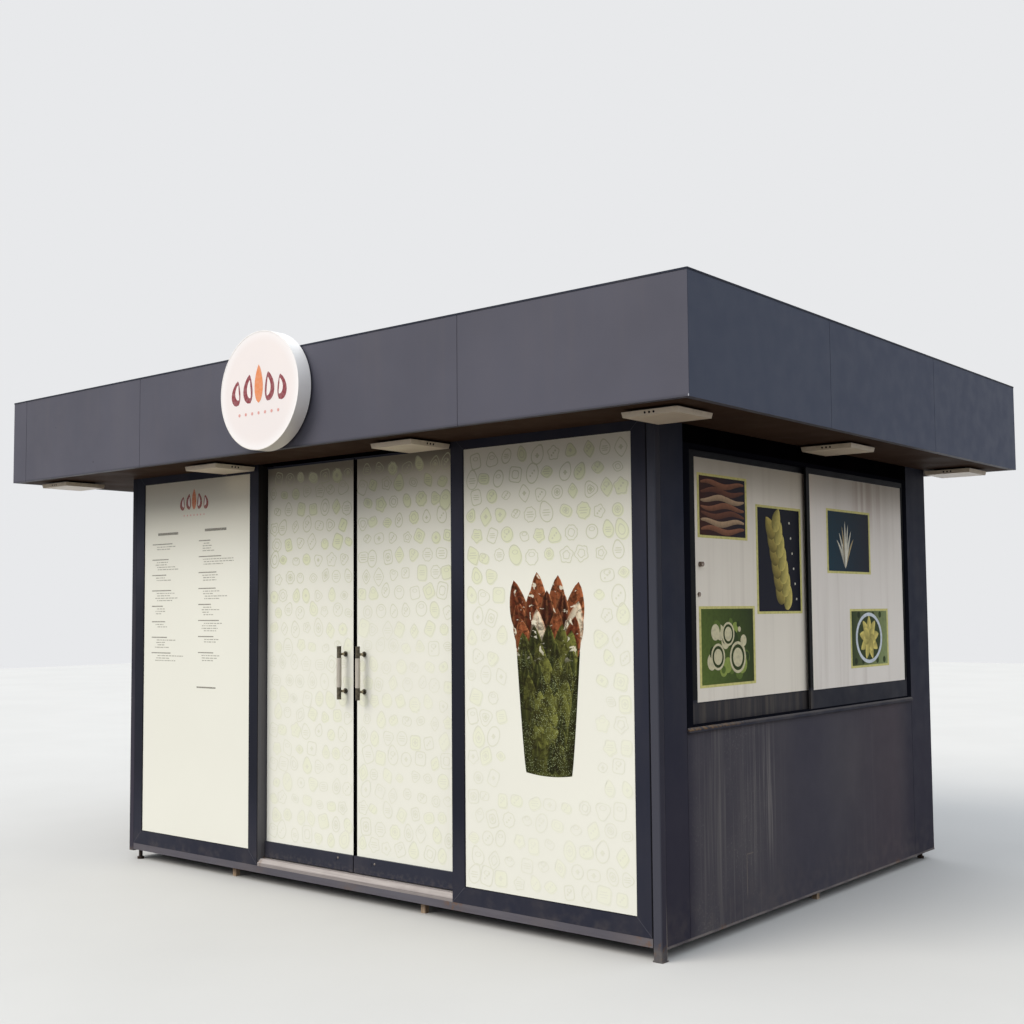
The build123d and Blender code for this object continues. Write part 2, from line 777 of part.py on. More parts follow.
for name, piece in pieces.items():
    piece.part.label = name
    export_step(piece.part, f"parts/{name}.step")
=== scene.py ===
"""Street kiosk: finishes, printed films, trims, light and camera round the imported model.

Laid out as an add-on and run as a script: each operator dresses one group of pieces.
Metres, +Z up, the glazed front towards -Y.
"""

import math

import bmesh
import bpy
import numpy as np
from mathutils import Matrix, Vector


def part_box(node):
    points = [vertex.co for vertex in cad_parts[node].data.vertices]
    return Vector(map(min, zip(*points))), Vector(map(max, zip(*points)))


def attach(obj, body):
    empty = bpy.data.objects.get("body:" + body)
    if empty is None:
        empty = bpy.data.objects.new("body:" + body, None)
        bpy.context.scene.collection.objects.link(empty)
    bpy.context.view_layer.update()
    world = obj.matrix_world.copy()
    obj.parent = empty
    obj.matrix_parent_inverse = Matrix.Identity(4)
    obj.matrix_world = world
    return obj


bl_info = {
    "name": "Street Kiosk",
    "version": (1, 0, 0),
    "blender": (4, 5, 0),
    "location": "View3D > Sidebar > Kiosk",
    "description": "Finishes, printed films, trims, light and camera of a street kiosk",
    "category": "Object",
}

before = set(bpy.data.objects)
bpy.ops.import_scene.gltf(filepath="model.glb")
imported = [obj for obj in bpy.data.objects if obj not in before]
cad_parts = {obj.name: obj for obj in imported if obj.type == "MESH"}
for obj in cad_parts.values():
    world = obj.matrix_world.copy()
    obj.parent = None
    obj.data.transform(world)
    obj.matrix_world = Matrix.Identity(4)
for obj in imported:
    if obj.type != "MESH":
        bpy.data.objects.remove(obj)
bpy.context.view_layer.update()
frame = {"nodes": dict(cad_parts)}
PRINT_GAP = 0.0004  # from a film to the print in front of it
HAIR = 0.00001  # the smallest step from one printed layer to the next


def tone(red, green, side_shade):
    """Linear colour of display values from 0 to 255."""
    shares = (red / 255, green / 255, side_shade / 255)
    return tuple(c / 12.92 if c <= 0.04045 else ((c + 0.055) / 1.055) ** 2.4 for c in shares)


def scaled(colour, share):
    """A colour made lighter or darker."""
    return tuple(c * share for c in colour)


def edges(node):
    """Lowest and highest corner of a CAD node, as one array of two rows."""
    return np.array([list(corner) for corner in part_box(node)])


def corners_of(node):
    """All points of a CAD node's mesh, as an array of rows x, y, z."""
    mesh = frame["nodes"][node].data
    points = np.empty(len(mesh.vertices) * 3)
    mesh.vertices.foreach_get("co", points)
    return points.reshape(-1, 3)


# Settings


def shade(title, text, default):
    """A colour that the user may change."""
    return bpy.props.FloatVectorProperty(name=title, description=text, subtype="COLOR", size=3,
                                         min=0.0, max=1.0, default=default)


def amount(title, text, default, unit="NONE", lowest=0.0):
    """A number or a length that the user may change."""
    return bpy.props.FloatProperty(name=title, description=text, default=default, min=lowest, unit=unit)


class KioskPaints(bpy.types.PropertyGroup):
    """Colours of the painted metal, the soffit and the lights."""

    fascia: shade("Roof box", "Paint of the roof box's cassettes", tone(84, 84, 95))
    wall: shade("Side walls", "Paint of the piers", tone(44, 47, 60))
    panel: shade("Lower panels", "Weathered paint of the lower wall panels", tone(76, 73, 80))
    frame: shade("Frames", "Paint of frames, rails and sashes", tone(43, 45, 57))
    post: shade("Posts", "Paint of the corner posts", tone(46, 47, 57))
    jamb: shade("Jambs", "Paint of the posts beside the doors", tone(99, 98, 101))
    beam: shade("Beams", "Worn paint of the base frame", tone(95, 93, 100))
    dust: shade("Dust", "Dry dust and old rain marks", tone(124, 114, 106))
    rust: shade("Rust", "Rust at feet, joints and edges", tone(118, 84, 52))
    soffit: shade("Soffit", "Paint of the underside of the roof", tone(56, 41, 32))
    trim: shade("Dark trim", "Transom, headers, seals and capping", tone(12, 12, 15))
    light: shade("Light shells", "Shells of the lights below the soffit", tone(232, 220, 198))


class KioskFilms(bpy.types.PropertyGroup):
    """Colours and sizes of the printed films."""

    cream: shade("Front film", "Film behind the glass of the front", tone(236, 236, 225))
    side: shade("Side film", "Film behind the side windows", tone(252, 244, 228))
    mark: shade("Mark lines", "Lines of the small printed marks", tone(206, 208, 180))
    fill: shade("Filled marks", "Filled shapes among the marks", tone(226, 230, 194))
    card: shade("Card edge", "Band round the cards on the side windows", tone(226, 218, 140))
    pitch: amount("Mark pitch", "Distance from one printed mark to the next", 0.1, "LENGTH")
    line: amount("Mark line", "Width of the printed lines", 0.005, "LENGTH")


class KioskStage(bpy.types.PropertyGroup):
    """Light, floor and lens."""

    sun: amount("Main light", "Strength of the soft main light", 2.2)
    sky: amount("Sky light", "Strength of the light from all round", 1.02)
    floor: shade("Floor", "Pale floor as the camera sees it", tone(198, 197, 194))
    lens: amount("Lens", "Focal length on a 36 mm wide frame", 45.65, "CAMERA", 10.0)
    eye: bpy.props.FloatVectorProperty(name="Eye", description="Where the camera stands", subtype="XYZ",
                                       size=3, default=(5.5282, -6.5409, 1.6), unit="LENGTH")


# Materials


class Nodes:
    """Short calls that add nodes to one node tree."""

    def __init__(self, tree):
        self.tree = tree

    def feed(self, socket, value):
        """Links an output to a socket, or sets the socket to a plain value."""
        if isinstance(value, bpy.types.NodeSocket):
            self.tree.links.new(value, socket)
        elif socket.type == "RGBA":
            socket.default_value = (*value[:3], 1)
        else:
            socket.default_value = value

    def node(self, kind, *numbered, **named):
        """Adds a node and feeds its inputs, first by number and then by name."""
        made = self.tree.nodes.new(kind)
        for socket, value in zip(made.inputs, numbered):
            self.feed(socket, value)
        for name, value in named.items():
            self.feed(made.inputs[name], value)
        return made

    def sum(self, operation, first, second=0):
        """One sum on two numbers."""
        made = self.node("ShaderNodeMath", first, second)
        made.operation = operation
        return made.outputs[0]

    def away(self, value, middle):
        """How far a value lies from a middle."""
        return self.sum("ABSOLUTE", self.sum("SUBTRACT", value, middle))

    def ramp(self, value, start, end, lowest=0, highest=1):
        """Runs smoothly from lowest to highest while value goes from start to end."""
        made = self.node("ShaderNodeMapRange", value, start, end, lowest, highest)
        made.interpolation_type = "SMOOTHSTEP"
        return made.outputs[0]

    def band(self, value, start, end, soft=0.01):
        """1 between start and end and 0 outside, with soft edges."""
        rise = self.ramp(value, start - soft, start + soft)
        return self.times(rise, self.ramp(value, end + soft, end - soft))

    def times(self, first, *others):
        """The product of several masks."""
        for other in others:
            first = self.sum("MULTIPLY", first, other)
        return first

    def most(self, first, *others):
        """The largest of several masks."""
        for other in others:
            first = self.sum("MAXIMUM", first, other)
        return first

    def mix(self, share, first, second):
        """Blends two colours by a share."""
        made = self.tree.nodes.new("ShaderNodeMix")
        made.data_type = "RGBA"
        for place, value in ((0, share), (6, first), (7, second)):
            self.feed(made.inputs[place], value)
        return made.outputs[2]

    def seen(self):
        """1 for what the camera sees, straight, in a reflection or through glass."""
        path = self.node("ShaderNodeLightPath").outputs
        return self.most(path["Is Camera Ray"], path["Is Glossy Ray"], path["Is Transmission Ray"])


class Finish(Nodes):
    """One procedural material: its shader, and the colour and roughness that are built up for it."""

    def __init__(self, name, roughness=0.5, metallic=0, specular=0.5, colour=None):
        self.material = bpy.data.materials.new(name)
        self.material.use_nodes = True
        super().__init__(self.material.node_tree)
        self.shader = self.tree.nodes["Principled BSDF"]
        self.shader.inputs["Metallic"].default_value = metallic
        self.shader.inputs["Specular IOR Level"].default_value = specular
        self.place = self.node("ShaderNodeTexCoord").outputs["Object"]
        self.x, self.y, self.z = self.node("ShaderNodeSeparateXYZ", self.place).outputs
        self.colour, self.rough = colour, roughness

    def stretch(self, x, y, z):
        """Object coordinates scaled along each axis."""
        return self.node("ShaderNodeMapping", Vector=self.place, Scale=(x, y, z)).outputs[0]

    def noise(self, scale, detail=3, roughness=0.5, twist=0):
        """Cloudy noise between 0 and 1; three scales stretch it along the axes."""
        place, scale = (self.stretch(*scale), 1) if isinstance(scale, tuple) else (self.place, scale)
        return self.node("ShaderNodeTexNoise", Vector=place, Scale=scale, Detail=detail,
                         Roughness=roughness, Distortion=twist).outputs[0]

    def patches(self, scale, detail, start, end, lowest=0, highest=1, **more):
        """Noise that is made to run from lowest to highest while it goes from start to end."""
        return self.ramp(self.noise(scale, detail, **more), start, end, lowest, highest)

    def near(self, point, radius, flat=(1, 1, 1)):
        """1 within a radius of a point and 0 outside; flat leaves an axis out where it is 0."""
        made = self.node("ShaderNodeVectorMath", self.stretch(*flat), [a * b for a, b in zip(point, flat)])
        made.operation = "DISTANCE"
        return self.ramp(made.outputs["Value"], radius * 1.15, radius * 0.85)

    def lay(self, colour, *masks):
        """Lays a colour over the colour so far, by the product of the masks."""
        self.colour = self.mix(self.times(*masks), self.colour, colour)

    def bump(self, height, strength=0.3, distance=0.001):
        """Joins a height to the surface normal."""
        made = self.node("ShaderNodeBump", Strength=strength, Distance=distance, Height=height)
        self.feed(self.shader.inputs["Normal"], made.outputs["Normal"])

    def done(self):
        """Joins colour and roughness to the shader and gives the material."""
        self.feed(self.shader.inputs["Base Color"], self.colour)
        self.feed(self.shader.inputs["Roughness"], self.rough)
        return self.material


def dress(finish, *nodes):
    """Gives CAD nodes one finish."""
    material = finish.done()
    for name in nodes:
        slots = frame["nodes"][name].data.materials
        slots.clear()
        slots.append(material)


def mottled(name, first, second, scale, detail=3, start=0.3, end=0.7, **surface):
    """A finish in soft patches of two colours."""
    f = Finish(name, **surface)
    f.colour = f.mix(f.patches(scale, detail, start, end), first, second)
    return f


def painted(name, colour, dust, share=0.12, roughness=0.5, specular=0.06):
    """Powder-coated metal: fine orange-peel, slow colour drift and a thin veil of dust."""
    f = mottled(name, scaled(colour, 0.94), scaled(colour, 1.06), 1.7, 4, specular=specular)
    f.lay(dust, f.patches((5, 5, 1.75), 5, 0.35, 0.8, 0, share))
    f.rough = f.patches(9, 3, 0.2, 0.8, roughness - 0.05, roughness + 0.08)
    f.bump(f.noise(420, 2), 0.12, 0.0004)
    return f


def ink(name, roughness=0.5, specular=0.05):
    """Ink in the colours of the shapes' own tint attribute."""
    f = Finish(name, roughness, specular=specular)
    made = f.node("ShaderNodeAttribute")
    made.attribute_name = "tint"
    f.colour = made.outputs["Color"]
    return f


# Shapes


def build(name, grids, material, body="kiosk", smooth=True):
    """Makes one mesh of several grids of points and lets it ride on a body.

    Each grid is (points, colour): points has the shape (rows, columns, 3), and neighbours in both
    directions are joined by four-sided faces. The colour, one or one per point, goes to tint.
    """
    points, faces, tints, first = [], [], [], 0
    for grid, colour in grids:
        rows, columns = grid.shape[:2]
        index = np.arange(rows * columns).reshape(rows, columns) + first
        corners = (index[:-1, :-1], index[:-1, 1:], index[1:, 1:], index[1:, :-1])
        faces.append(np.stack(corners, -1).reshape(-1, 4))
        points.append(grid.reshape(-1, 3))
        tints.append(np.broadcast_to(np.clip(colour, 0, 1), (rows, columns, 3)).reshape(-1, 3))
        first += rows * columns
    points, faces, tints = (np.concatenate(part) for part in (points, faces, tints))
    mesh = bpy.data.meshes.new(name)
    mesh.from_pydata(points, [], faces)
    layer = mesh.attributes.new("tint", "FLOAT_COLOR", "POINT")
    layer.data.foreach_set("color", np.column_stack([tints, np.ones(len(tints))]).ravel())
    work = bmesh.new()
    work.from_mesh(mesh)
    bmesh.ops.remove_doubles(work, verts=work.verts, dist=1e-6)
    work.to_mesh(mesh)
    work.free()
    mesh.materials.append(material)
    if smooth:
        mesh.shade_smooth()
    piece = bpy.data.objects.new(name, mesh)
    bpy.context.collection.objects.link(piece)
    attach(piece, body)
    return piece


def curve(steps=24, square=2, lobes=0, share=0, point=0, tall=1, turn=0):
    """A closed curve of size about 1, as rows of two coordinates.

    Its radius at an angle is (|cos|^n + |sin|^n)^(-1/n), with n the squareness, times
    1 + share * cos(lobes * angle), plus point * sin^8 on the upper half.
    """
    angle = np.linspace(0, 2 * np.pi, steps + 1)
    radius = (np.abs(np.cos(angle)) ** square + np.abs(np.sin(angle)) ** square) ** (-1 / square)
    radius = radius * (1 + share * np.cos(lobes * angle)) + point * np.clip(np.sin(angle), 0, 1) ** 8
    flat = np.stack([radius * np.cos(angle), radius * np.sin(angle) * tall], -1)
    return flat @ np.array([[math.cos(turn), math.sin(turn)], [-math.sin(turn), math.cos(turn)]])


def ring(flat, centre, size, width):
    """A flat band along a closed curve: the curve itself and the curve drawn in by the width."""
    return np.stack([flat * size, flat * (size - width)]) + np.asarray(centre)


def patch(flat, centre, size):
    """The flat inside of a closed curve, joined to its centre."""
    return np.stack([flat * size, flat * 0]) + np.asarray(centre)


def bar(left, bottom, right, top):
    """A flat upright rectangle."""
    return np.array([[(left, bottom), (right, bottom)], [(left, top), (right, top)]], float)


def leaf(base, lean, reach, wide, bend=0.35, rows=15, columns=9):
    """A flat pointed leaf with its foot at base.

    Its middle runs along an arc that starts at the angle lean from upright and loses the share
    bend of it. Its half width is wide * sin(pi * along^0.8)^0.7. Gives the points, the place
    along from 0 to 1 and the place across from -1 to 1.
    """
    along = np.linspace(0, 1, rows)[:, None]
    across = np.linspace(-1, 1, columns)[None, :]
    turn = lean * (1 - bend * along)
    middle = np.asarray(base) + reach * along * np.concatenate([np.sin(turn), np.cos(turn)], -1)
    sideways = np.concatenate([np.cos(turn), -np.sin(turn)], -1)
    half = wide * np.clip(np.sin(np.pi * along**0.8), 0, 1) ** 0.7 * across
    return middle[:, None, :] + half[..., None] * sideways[:, None, :], along[..., None], across[..., None]


def front(flat, y):
    """Puts flat points (x, z) on an upright plane at y that faces the front."""
    return np.stack([flat[..., 0], np.broadcast_to(y, flat.shape[:-1]), flat[..., 1]], -1)


def side(flat, x):
    """Puts flat points (y, z) on an upright plane at x that faces the right."""
    return np.stack([np.broadcast_to(x, flat.shape[:-1]), flat[..., 0], flat[..., 1]], -1)


def bead(limits, width, height, steps=6):
    """A half-round bead along the inside of a rectangle, mitred at its corners.

    Returns flat points and their height off the plane: across the bead the height is
    the given height * sin of an angle that runs from 0 to half a turn.
    """
    left, bottom, right, top = limits
    corner = np.array([(left, bottom), (right, bottom), (right, top), (left, top), (left, bottom)], float)
    inward = np.array([(1, 1), (-1, 1), (-1, -1), (1, -1), (1, 1)], float)
    angle = np.linspace(0, np.pi, steps + 1)
    flat = corner[None] + inward[None] * (width * (1 - np.cos(angle)) / 2)[:, None, None]
    return flat, np.broadcast_to((height * np.sin(angle))[:, None], flat.shape[:2])


def strip(left, right, bottom, top, height, steps=6):
    """An upright half-round strip: its height off the plane is the given height * sin of half a turn."""
    angle = np.linspace(np.pi, 0, steps + 1)
    x = (left + right) / 2 + (right - left) / 2 * np.cos(angle)
    flat = np.stack([np.stack([x, np.full_like(x, z)], -1) for z in (bottom, top)])
    return flat, np.broadcast_to(height * np.sin(angle), flat.shape[:2])


def dome(centre, radius, height, steps=16, rows=5):
    """A low round head: its height is the given height * sqrt(1 - (distance / radius)^2)."""
    share = np.cos(np.linspace(0, np.pi / 2, rows))
    circle = curve(steps)
    flat = share[:, None, None] * radius * circle[None] + np.asarray(centre)
    return flat, np.broadcast_to((height * np.sqrt(1 - share**2))[:, None], flat.shape[:2])


# Painted metal

PALER_BELOW = (1.5, 0.5, 0, 0.8)  # from and to which height walls and posts turn paler, and by how much: partly painted shade that darkens their upper parts, partly dust near the ground
SHADED_ABOVE = (1.2, 2.1)  # from and to which height the doors' recess turns dark


def dried_dust(f, near):
    """Dust dried on the lower panels: broad and thin runs and fine grains, most near the front corner."""
    front_part = f.ramp(f.y, near + 0.3, near + 1.1, 1, 0.25)
    runs = f.patches((11, 11, 0.45), 3, 0.5, 0.72, roughness=0.6)
    thin = f.patches((52, 52, 0.9), 3, 0.52, 0.8)
    cloud = f.patches(2.2, 4, 0.35, 0.7)
    grains = f.times(f.patches(75, 4, 0.48, 0.7, roughness=0.7), cloud)
    fine = f.times(f.most(f.times(thin, 0.7), grains), front_part, 0.95)
    return f.most(f.times(runs, front_part), fine, f.times(cloud, 0.25))


class KIOSK_OT_paint_walls(bpy.types.Operator):
    """Paints the side and back walls, with rain streaks, dust and rust"""

    bl_idname = "kiosk.paint_walls"
    bl_label = "Paint Walls"

    def execute(self, context):
        paints = context.scene.kiosk_paints
        (_, near, foot), (_, far, sill) = edges("right_lower_panel")
        f = painted("wall_paint", paints.wall, paints.dust, 0.08, 0.55, 0.04)
        f.lay(tone(56, 53, 64), f.ramp(f.z, *PALER_BELOW))
        panel = f.times(f.ramp(f.y, near - 0.002, near + 0.1, 0.15, 1),
                        f.ramp(f.y, near - 0.003, near - 0.002),
                        f.ramp(f.y, far + 0.002, far - 0.3, 0.05, 1),
                        f.ramp(f.y, far + 0.003, far + 0.002), f.ramp(f.z, sill + 0.004, sill))
        f.lay(paints.panel, panel, f.patches(1.3, 4, 0.3, 0.7, 0.75, 1))
        veil = f.times(panel, dried_dust(f, near))
        f.lay(tone(122, 118, 116), veil, 0.72)
        drips = f.patches((46, 46, 1.1), 4, 0.44, 0.7, roughness=0.65)
        below_joint = f.times(f.band(f.y, near + 0.55, near + 0.85, 0.16), f.band(f.z, 0.35, 0.95, 0.25))
        f.lay(tone(138, 133, 130), below_joint, panel, drips, 0.7)
        f.lay(tone(66, 65, 77), panel, f.band(f.y, near + 1, near + 1.55, 0.25), 0.5)
        f.lay(tone(80, 70, 76), panel, f.ramp(f.y, near + 1.5, near + 2.4), 0.5)
        f.lay(paints.dust, f.ramp(f.z, foot + 0.3, foot), f.patches(14, 4, 0.35, 0.75), 0.16)
        upright = f.times(f.band(f.y, near + 0.532, near + 0.538, 0.0015), f.band(f.z, 0.17, 0.37, 0.02))
        level = f.times(f.band(f.y, near + 0.535, near + 0.6, 0.006), f.band(f.z, 0.368, 0.373, 0.002))
        f.lay(paints.dust, f.most(upright, level), 0.7)
        hem = f.band(f.z, foot, foot + 0.011, 0.001)
        f.lay(tone(150, 142, 136), hem, f.patches(6, 3, 0.3, 0.6, 0.3, 1), 0.55)
        f.lay(paints.rust, f.ramp(f.z, foot + 0.03, foot + 0.004), f.patches(11, 5, 0.6, 0.7), 0.5)
        left, right = edges("left_wall_piers")[1][0], edges("right_wall_piers")[0][0]
        back, skin = edges("back_wall_panels")[1][1], 0.004
        inside = f.band(f.x, left - skin, right + 0.001, 0.001)
        f.lay(tone(206, 205, 200), inside, f.ramp(f.y, back - skin, back - 2 * skin))
        f.rough = f.sum("ADD", f.rough, f.times(veil, 0.2))
        dress(f, "right_wall_piers", "left_wall_piers", "right_lower_panel", "left_lower_panel",
              "back_wall_panels")
        return {"FINISHED"}


class KIOSK_OT_paint_roof(bpy.types.Operator):
    """Paints the roof box, its capping, deck and soffit"""

    bl_idname = "kiosk.paint_roof"
    bl_label = "Paint Roof Box"

    def execute(self, context):
        paints = context.scene.kiosk_paints
        top, right = edges("roof_capping")[1][2], edges("right_fascia")[1][0]
        _, head, foot = edges("front_fascia")[0]
        f = painted("fascia_paint", paints.fascia, paints.dust, 0.04, 0.5, 0.14)
        f.lay(paints.dust, f.patches((14, 14, 0.6), 3, 0.5, 0.8), f.ramp(f.z, foot, top, 0.02, 0.06))
        # painted reflection of the dark soffit: the cassettes darker along their foot
        f.lay(scaled(paints.fascia, 0.35), f.ramp(f.z, foot + 0.014, foot + 0.004), 0.4)
        f.lay(tone(176, 178, 184), f.near((right, head, foot + 0.006), 0.006))
        specks = [f.near((x, head, foot + high), radius)
                  for x, high, radius in ((-1.72, 0.07, 0.006), (-2.16, 0.33, 0.004))]
        f.lay(tone(40, 40, 46), f.most(*specks), 0.5)
        # painted shade: the sides of the roof box darker and bluer than the front
        side_shade = f.mix(f.ramp(f.y, head, head + 3), tone(66, 73, 90), tone(62, 69, 88))
        f.lay(side_shade, f.ramp(f.away(f.x, 0), right - 0.0015, right - 0.0005), 0.95)
        dress(f, "front_fascia", "right_fascia", "back_fascia", "left_fascia")
        dress(painted("capping_paint", tone(44, 48, 60), paints.dust, 0.1), "roof_capping")

        soffit = paints.soffit
        f = mottled("soffit_paint", scaled(soffit, 0.85), scaled(soffit, 1.2), 1.3, 4, specular=0.012)
        f.lay(paints.dust, f.patches(7, 5, 0.55, 0.8, 0, 0.1))
        f.rough = f.patches(4, 3, 0.3, 0.7, 0.54, 0.66)
        f.bump(f.noise(2.5), 0.15, 0.004)
        dress(f, "soffit_panels")

        f = Finish("roof_sheet", roughness=0.75, colour=tone(120, 122, 124))
        lap = f.ramp(f.sum("PINGPONG", f.sum("ADD", f.x, 0.05), 0.5), 0.012, 0.004)
        grit = f.noise(160)
        f.lay(tone(100, 97, 91), f.patches(1.1, 5, 0.45, 0.6), 0.5)
        f.lay(tone(70, 70, 72), lap, 0.6)
        f.lay(tone(170, 168, 160), f.ramp(grit, 0.3, 0.7, 0, 0.25))
        f.bump(f.sum("ADD", f.times(grit, 0.25), lap), 0.6, 0.004)
        dress(f, "roof_deck")
        return {"FINISHED"}


def mitres(f, node, wide=0.0022):
    """1 on the lines at 45 degrees through the four corners of a flat frame that faces the front."""
    low, high = edges(node)
    insets = [f.sum("MINIMUM", f.sum("SUBTRACT", place, low[axis]), f.sum("SUBTRACT", high[axis], place))
              for axis, place in ((0, f.x), (2, f.z))]
    return f.ramp(f.away(*insets), wide, wide * 0.4)


class KIOSK_OT_paint_front(bpy.types.Operator):
    """Paints frames, posts, transom, rails and sashes"""

    bl_idname = "kiosk.paint_front"
    bl_label = "Paint Frames And Posts"

    def execute(self, context):
        paints = context.scene.kiosk_paints
        dust = paints.dust
        low, high = edges("front_right_frame")
        f = painted("frame_paint", paints.frame, dust, 0.08)
        # painted shade: the frames darker over middle heights, except towards the right end of the right
        # frame
        f.lay(scaled(paints.frame, 0.55), f.band(f.z, 0.45, 1.75, 0.22), f.ramp(f.x, 1.85, 1.95, 0.9, 0))
        f.lay(dust, f.ramp(f.z, low[2] + 0.12, low[2]), f.patches(16, 5, 0.4, 0.8), 0.16)
        joints = f.most(mitres(f, "front_left_frame"), mitres(f, "front_right_frame"))
        f.lay(tone(112, 112, 120), joints, 0.4)
        # painted shade: the side faces of the frames at the doorway and at the right frame's outer edge
        # near black
        shaded_rims = f.most(f.band(f.x, high[0] - 0.005, high[0] + 0.01, 0.001),
                      f.band(f.x, edges("front_left_frame")[1][0] - 0.005, low[0], 0.001))
        f.lay(paints.trim, shaded_rims, f.ramp(f.y, low[1] + 0.002, low[1] + 0.001), 0.85)
        reveals = f.times(f.ramp(f.y, low[1] + 0.001, low[1] + 0.002), f.band(f.x, -0.613, 0.93, 0.001))
        jamb = f.mix(f.ramp(f.z, *SHADED_ABOVE), scaled(paints.jamb, 1.1), tone(40, 38, 37))
        f.lay(jamb, reveals)
        dress(f, "front_left_frame", "front_right_frame")

        f = painted("window_frame_paint", scaled(paints.frame, 0.3), dust, 0.005, 0.7, 0)
        dress(f, "right_window_frame", "left_window_frame")
        f = painted("dark_trim", scaled(paints.trim, 0.5), dust, 0.01, 0.7, 0)
        dress(f, "door_transom", "window_headers")

        f = painted("sash_paint", scaled(paints.frame, 0.68), dust, 0.06)
        _, near, foot = edges("right_window_sashes")[0]
        rail = f.times(f.ramp(f.z, foot + 0.115, foot + 0.085), f.ramp(f.y, near + 1.27, near + 1.2))
        f.lay(tone(122, 112, 98), rail, f.patches((30, 30, 1.4), 4, 0.4, 0.72, 0.3, 1), 0.34)
        # the sash above its bottom rail near black: partly its dark paint, partly painted shade
        f.lay(tone(10, 10, 13), f.ramp(f.z, foot + 0.112, foot + 0.116), 0.96)
        dress(f, "right_window_sashes", "left_window_sashes")

        f = painted("sill_paint", paints.frame, dust, 0.2)
        (_, near, foot), (_, _, top) = edges("window_sills")
        rust = f.times(f.patches(34, 5, 0.38, 0.6), f.ramp(f.y, near + 0.15, near + 0.7, 1, 0.05))
        f.lay(tone(150, 114, 68), rust, f.ramp(f.z, foot + 0.005, foot + 0.012), 0.6)
        f.lay(tone(140, 134, 128), f.ramp(f.z, top - 0.012, top - 0.004), 0.3)
        dress(f, "window_sills")

        f = painted("post_paint", paints.post, dust, 0.1)
        face = low[1]
        f.lay(tone(60, 57, 68), f.ramp(f.z, *PALER_BELOW))
        sunlit = f.times(f.ramp(f.y, face + 0.007, face + 0.004), f.ramp(f.x, 0, 0.1))
        f.lay(f.mix(f.ramp(f.z, 0.3, 2.2), tone(72, 73, 82), tone(64, 66, 75)), sunlit, 0.9)
        seam = f.band(f.y, face + 0.04, face + 0.05, 0.002)
        f.lay(tone(168, 158, 146), seam, f.ramp(f.z, 0.3, 0.08), 0.8)
        f.lay(tone(106, 102, 98), f.ramp(f.z, 0.085, 0.035), f.patches(30, 3, 0.3, 0.6, 0.6, 1), 0.7)
        f.lay(paints.rust, f.band(f.z, 0, 0.09, 0.02), f.patches(40, 4, 0.54, 0.68), 0.35)
        dress(f, "corner_posts")

        f = painted("doorway_paint", paints.jamb, dust, 0.1)
        f.lay(tone(36, 34, 33), f.ramp(f.z, *SHADED_ABOVE))
        f.lay(paints.rust, f.ramp(f.z, 0.19, 0.13), f.patches(30, 4, 0.45, 0.62), 0.6)
        dress(f, "doorway_posts")

        f = painted("door_rail_paint", paints.frame, dust, 0.08, 0.42, 0.12)
        foot = edges("left_door_rails")[0][2] + 0.02
        f.lay(dust, f.ramp(f.z, foot + 0.06, foot), f.patches(40, 4, 0.4, 0.7), 0.2)
        dress(f, "left_door_rails", "right_door_rails")
        return {"FINISHED"}


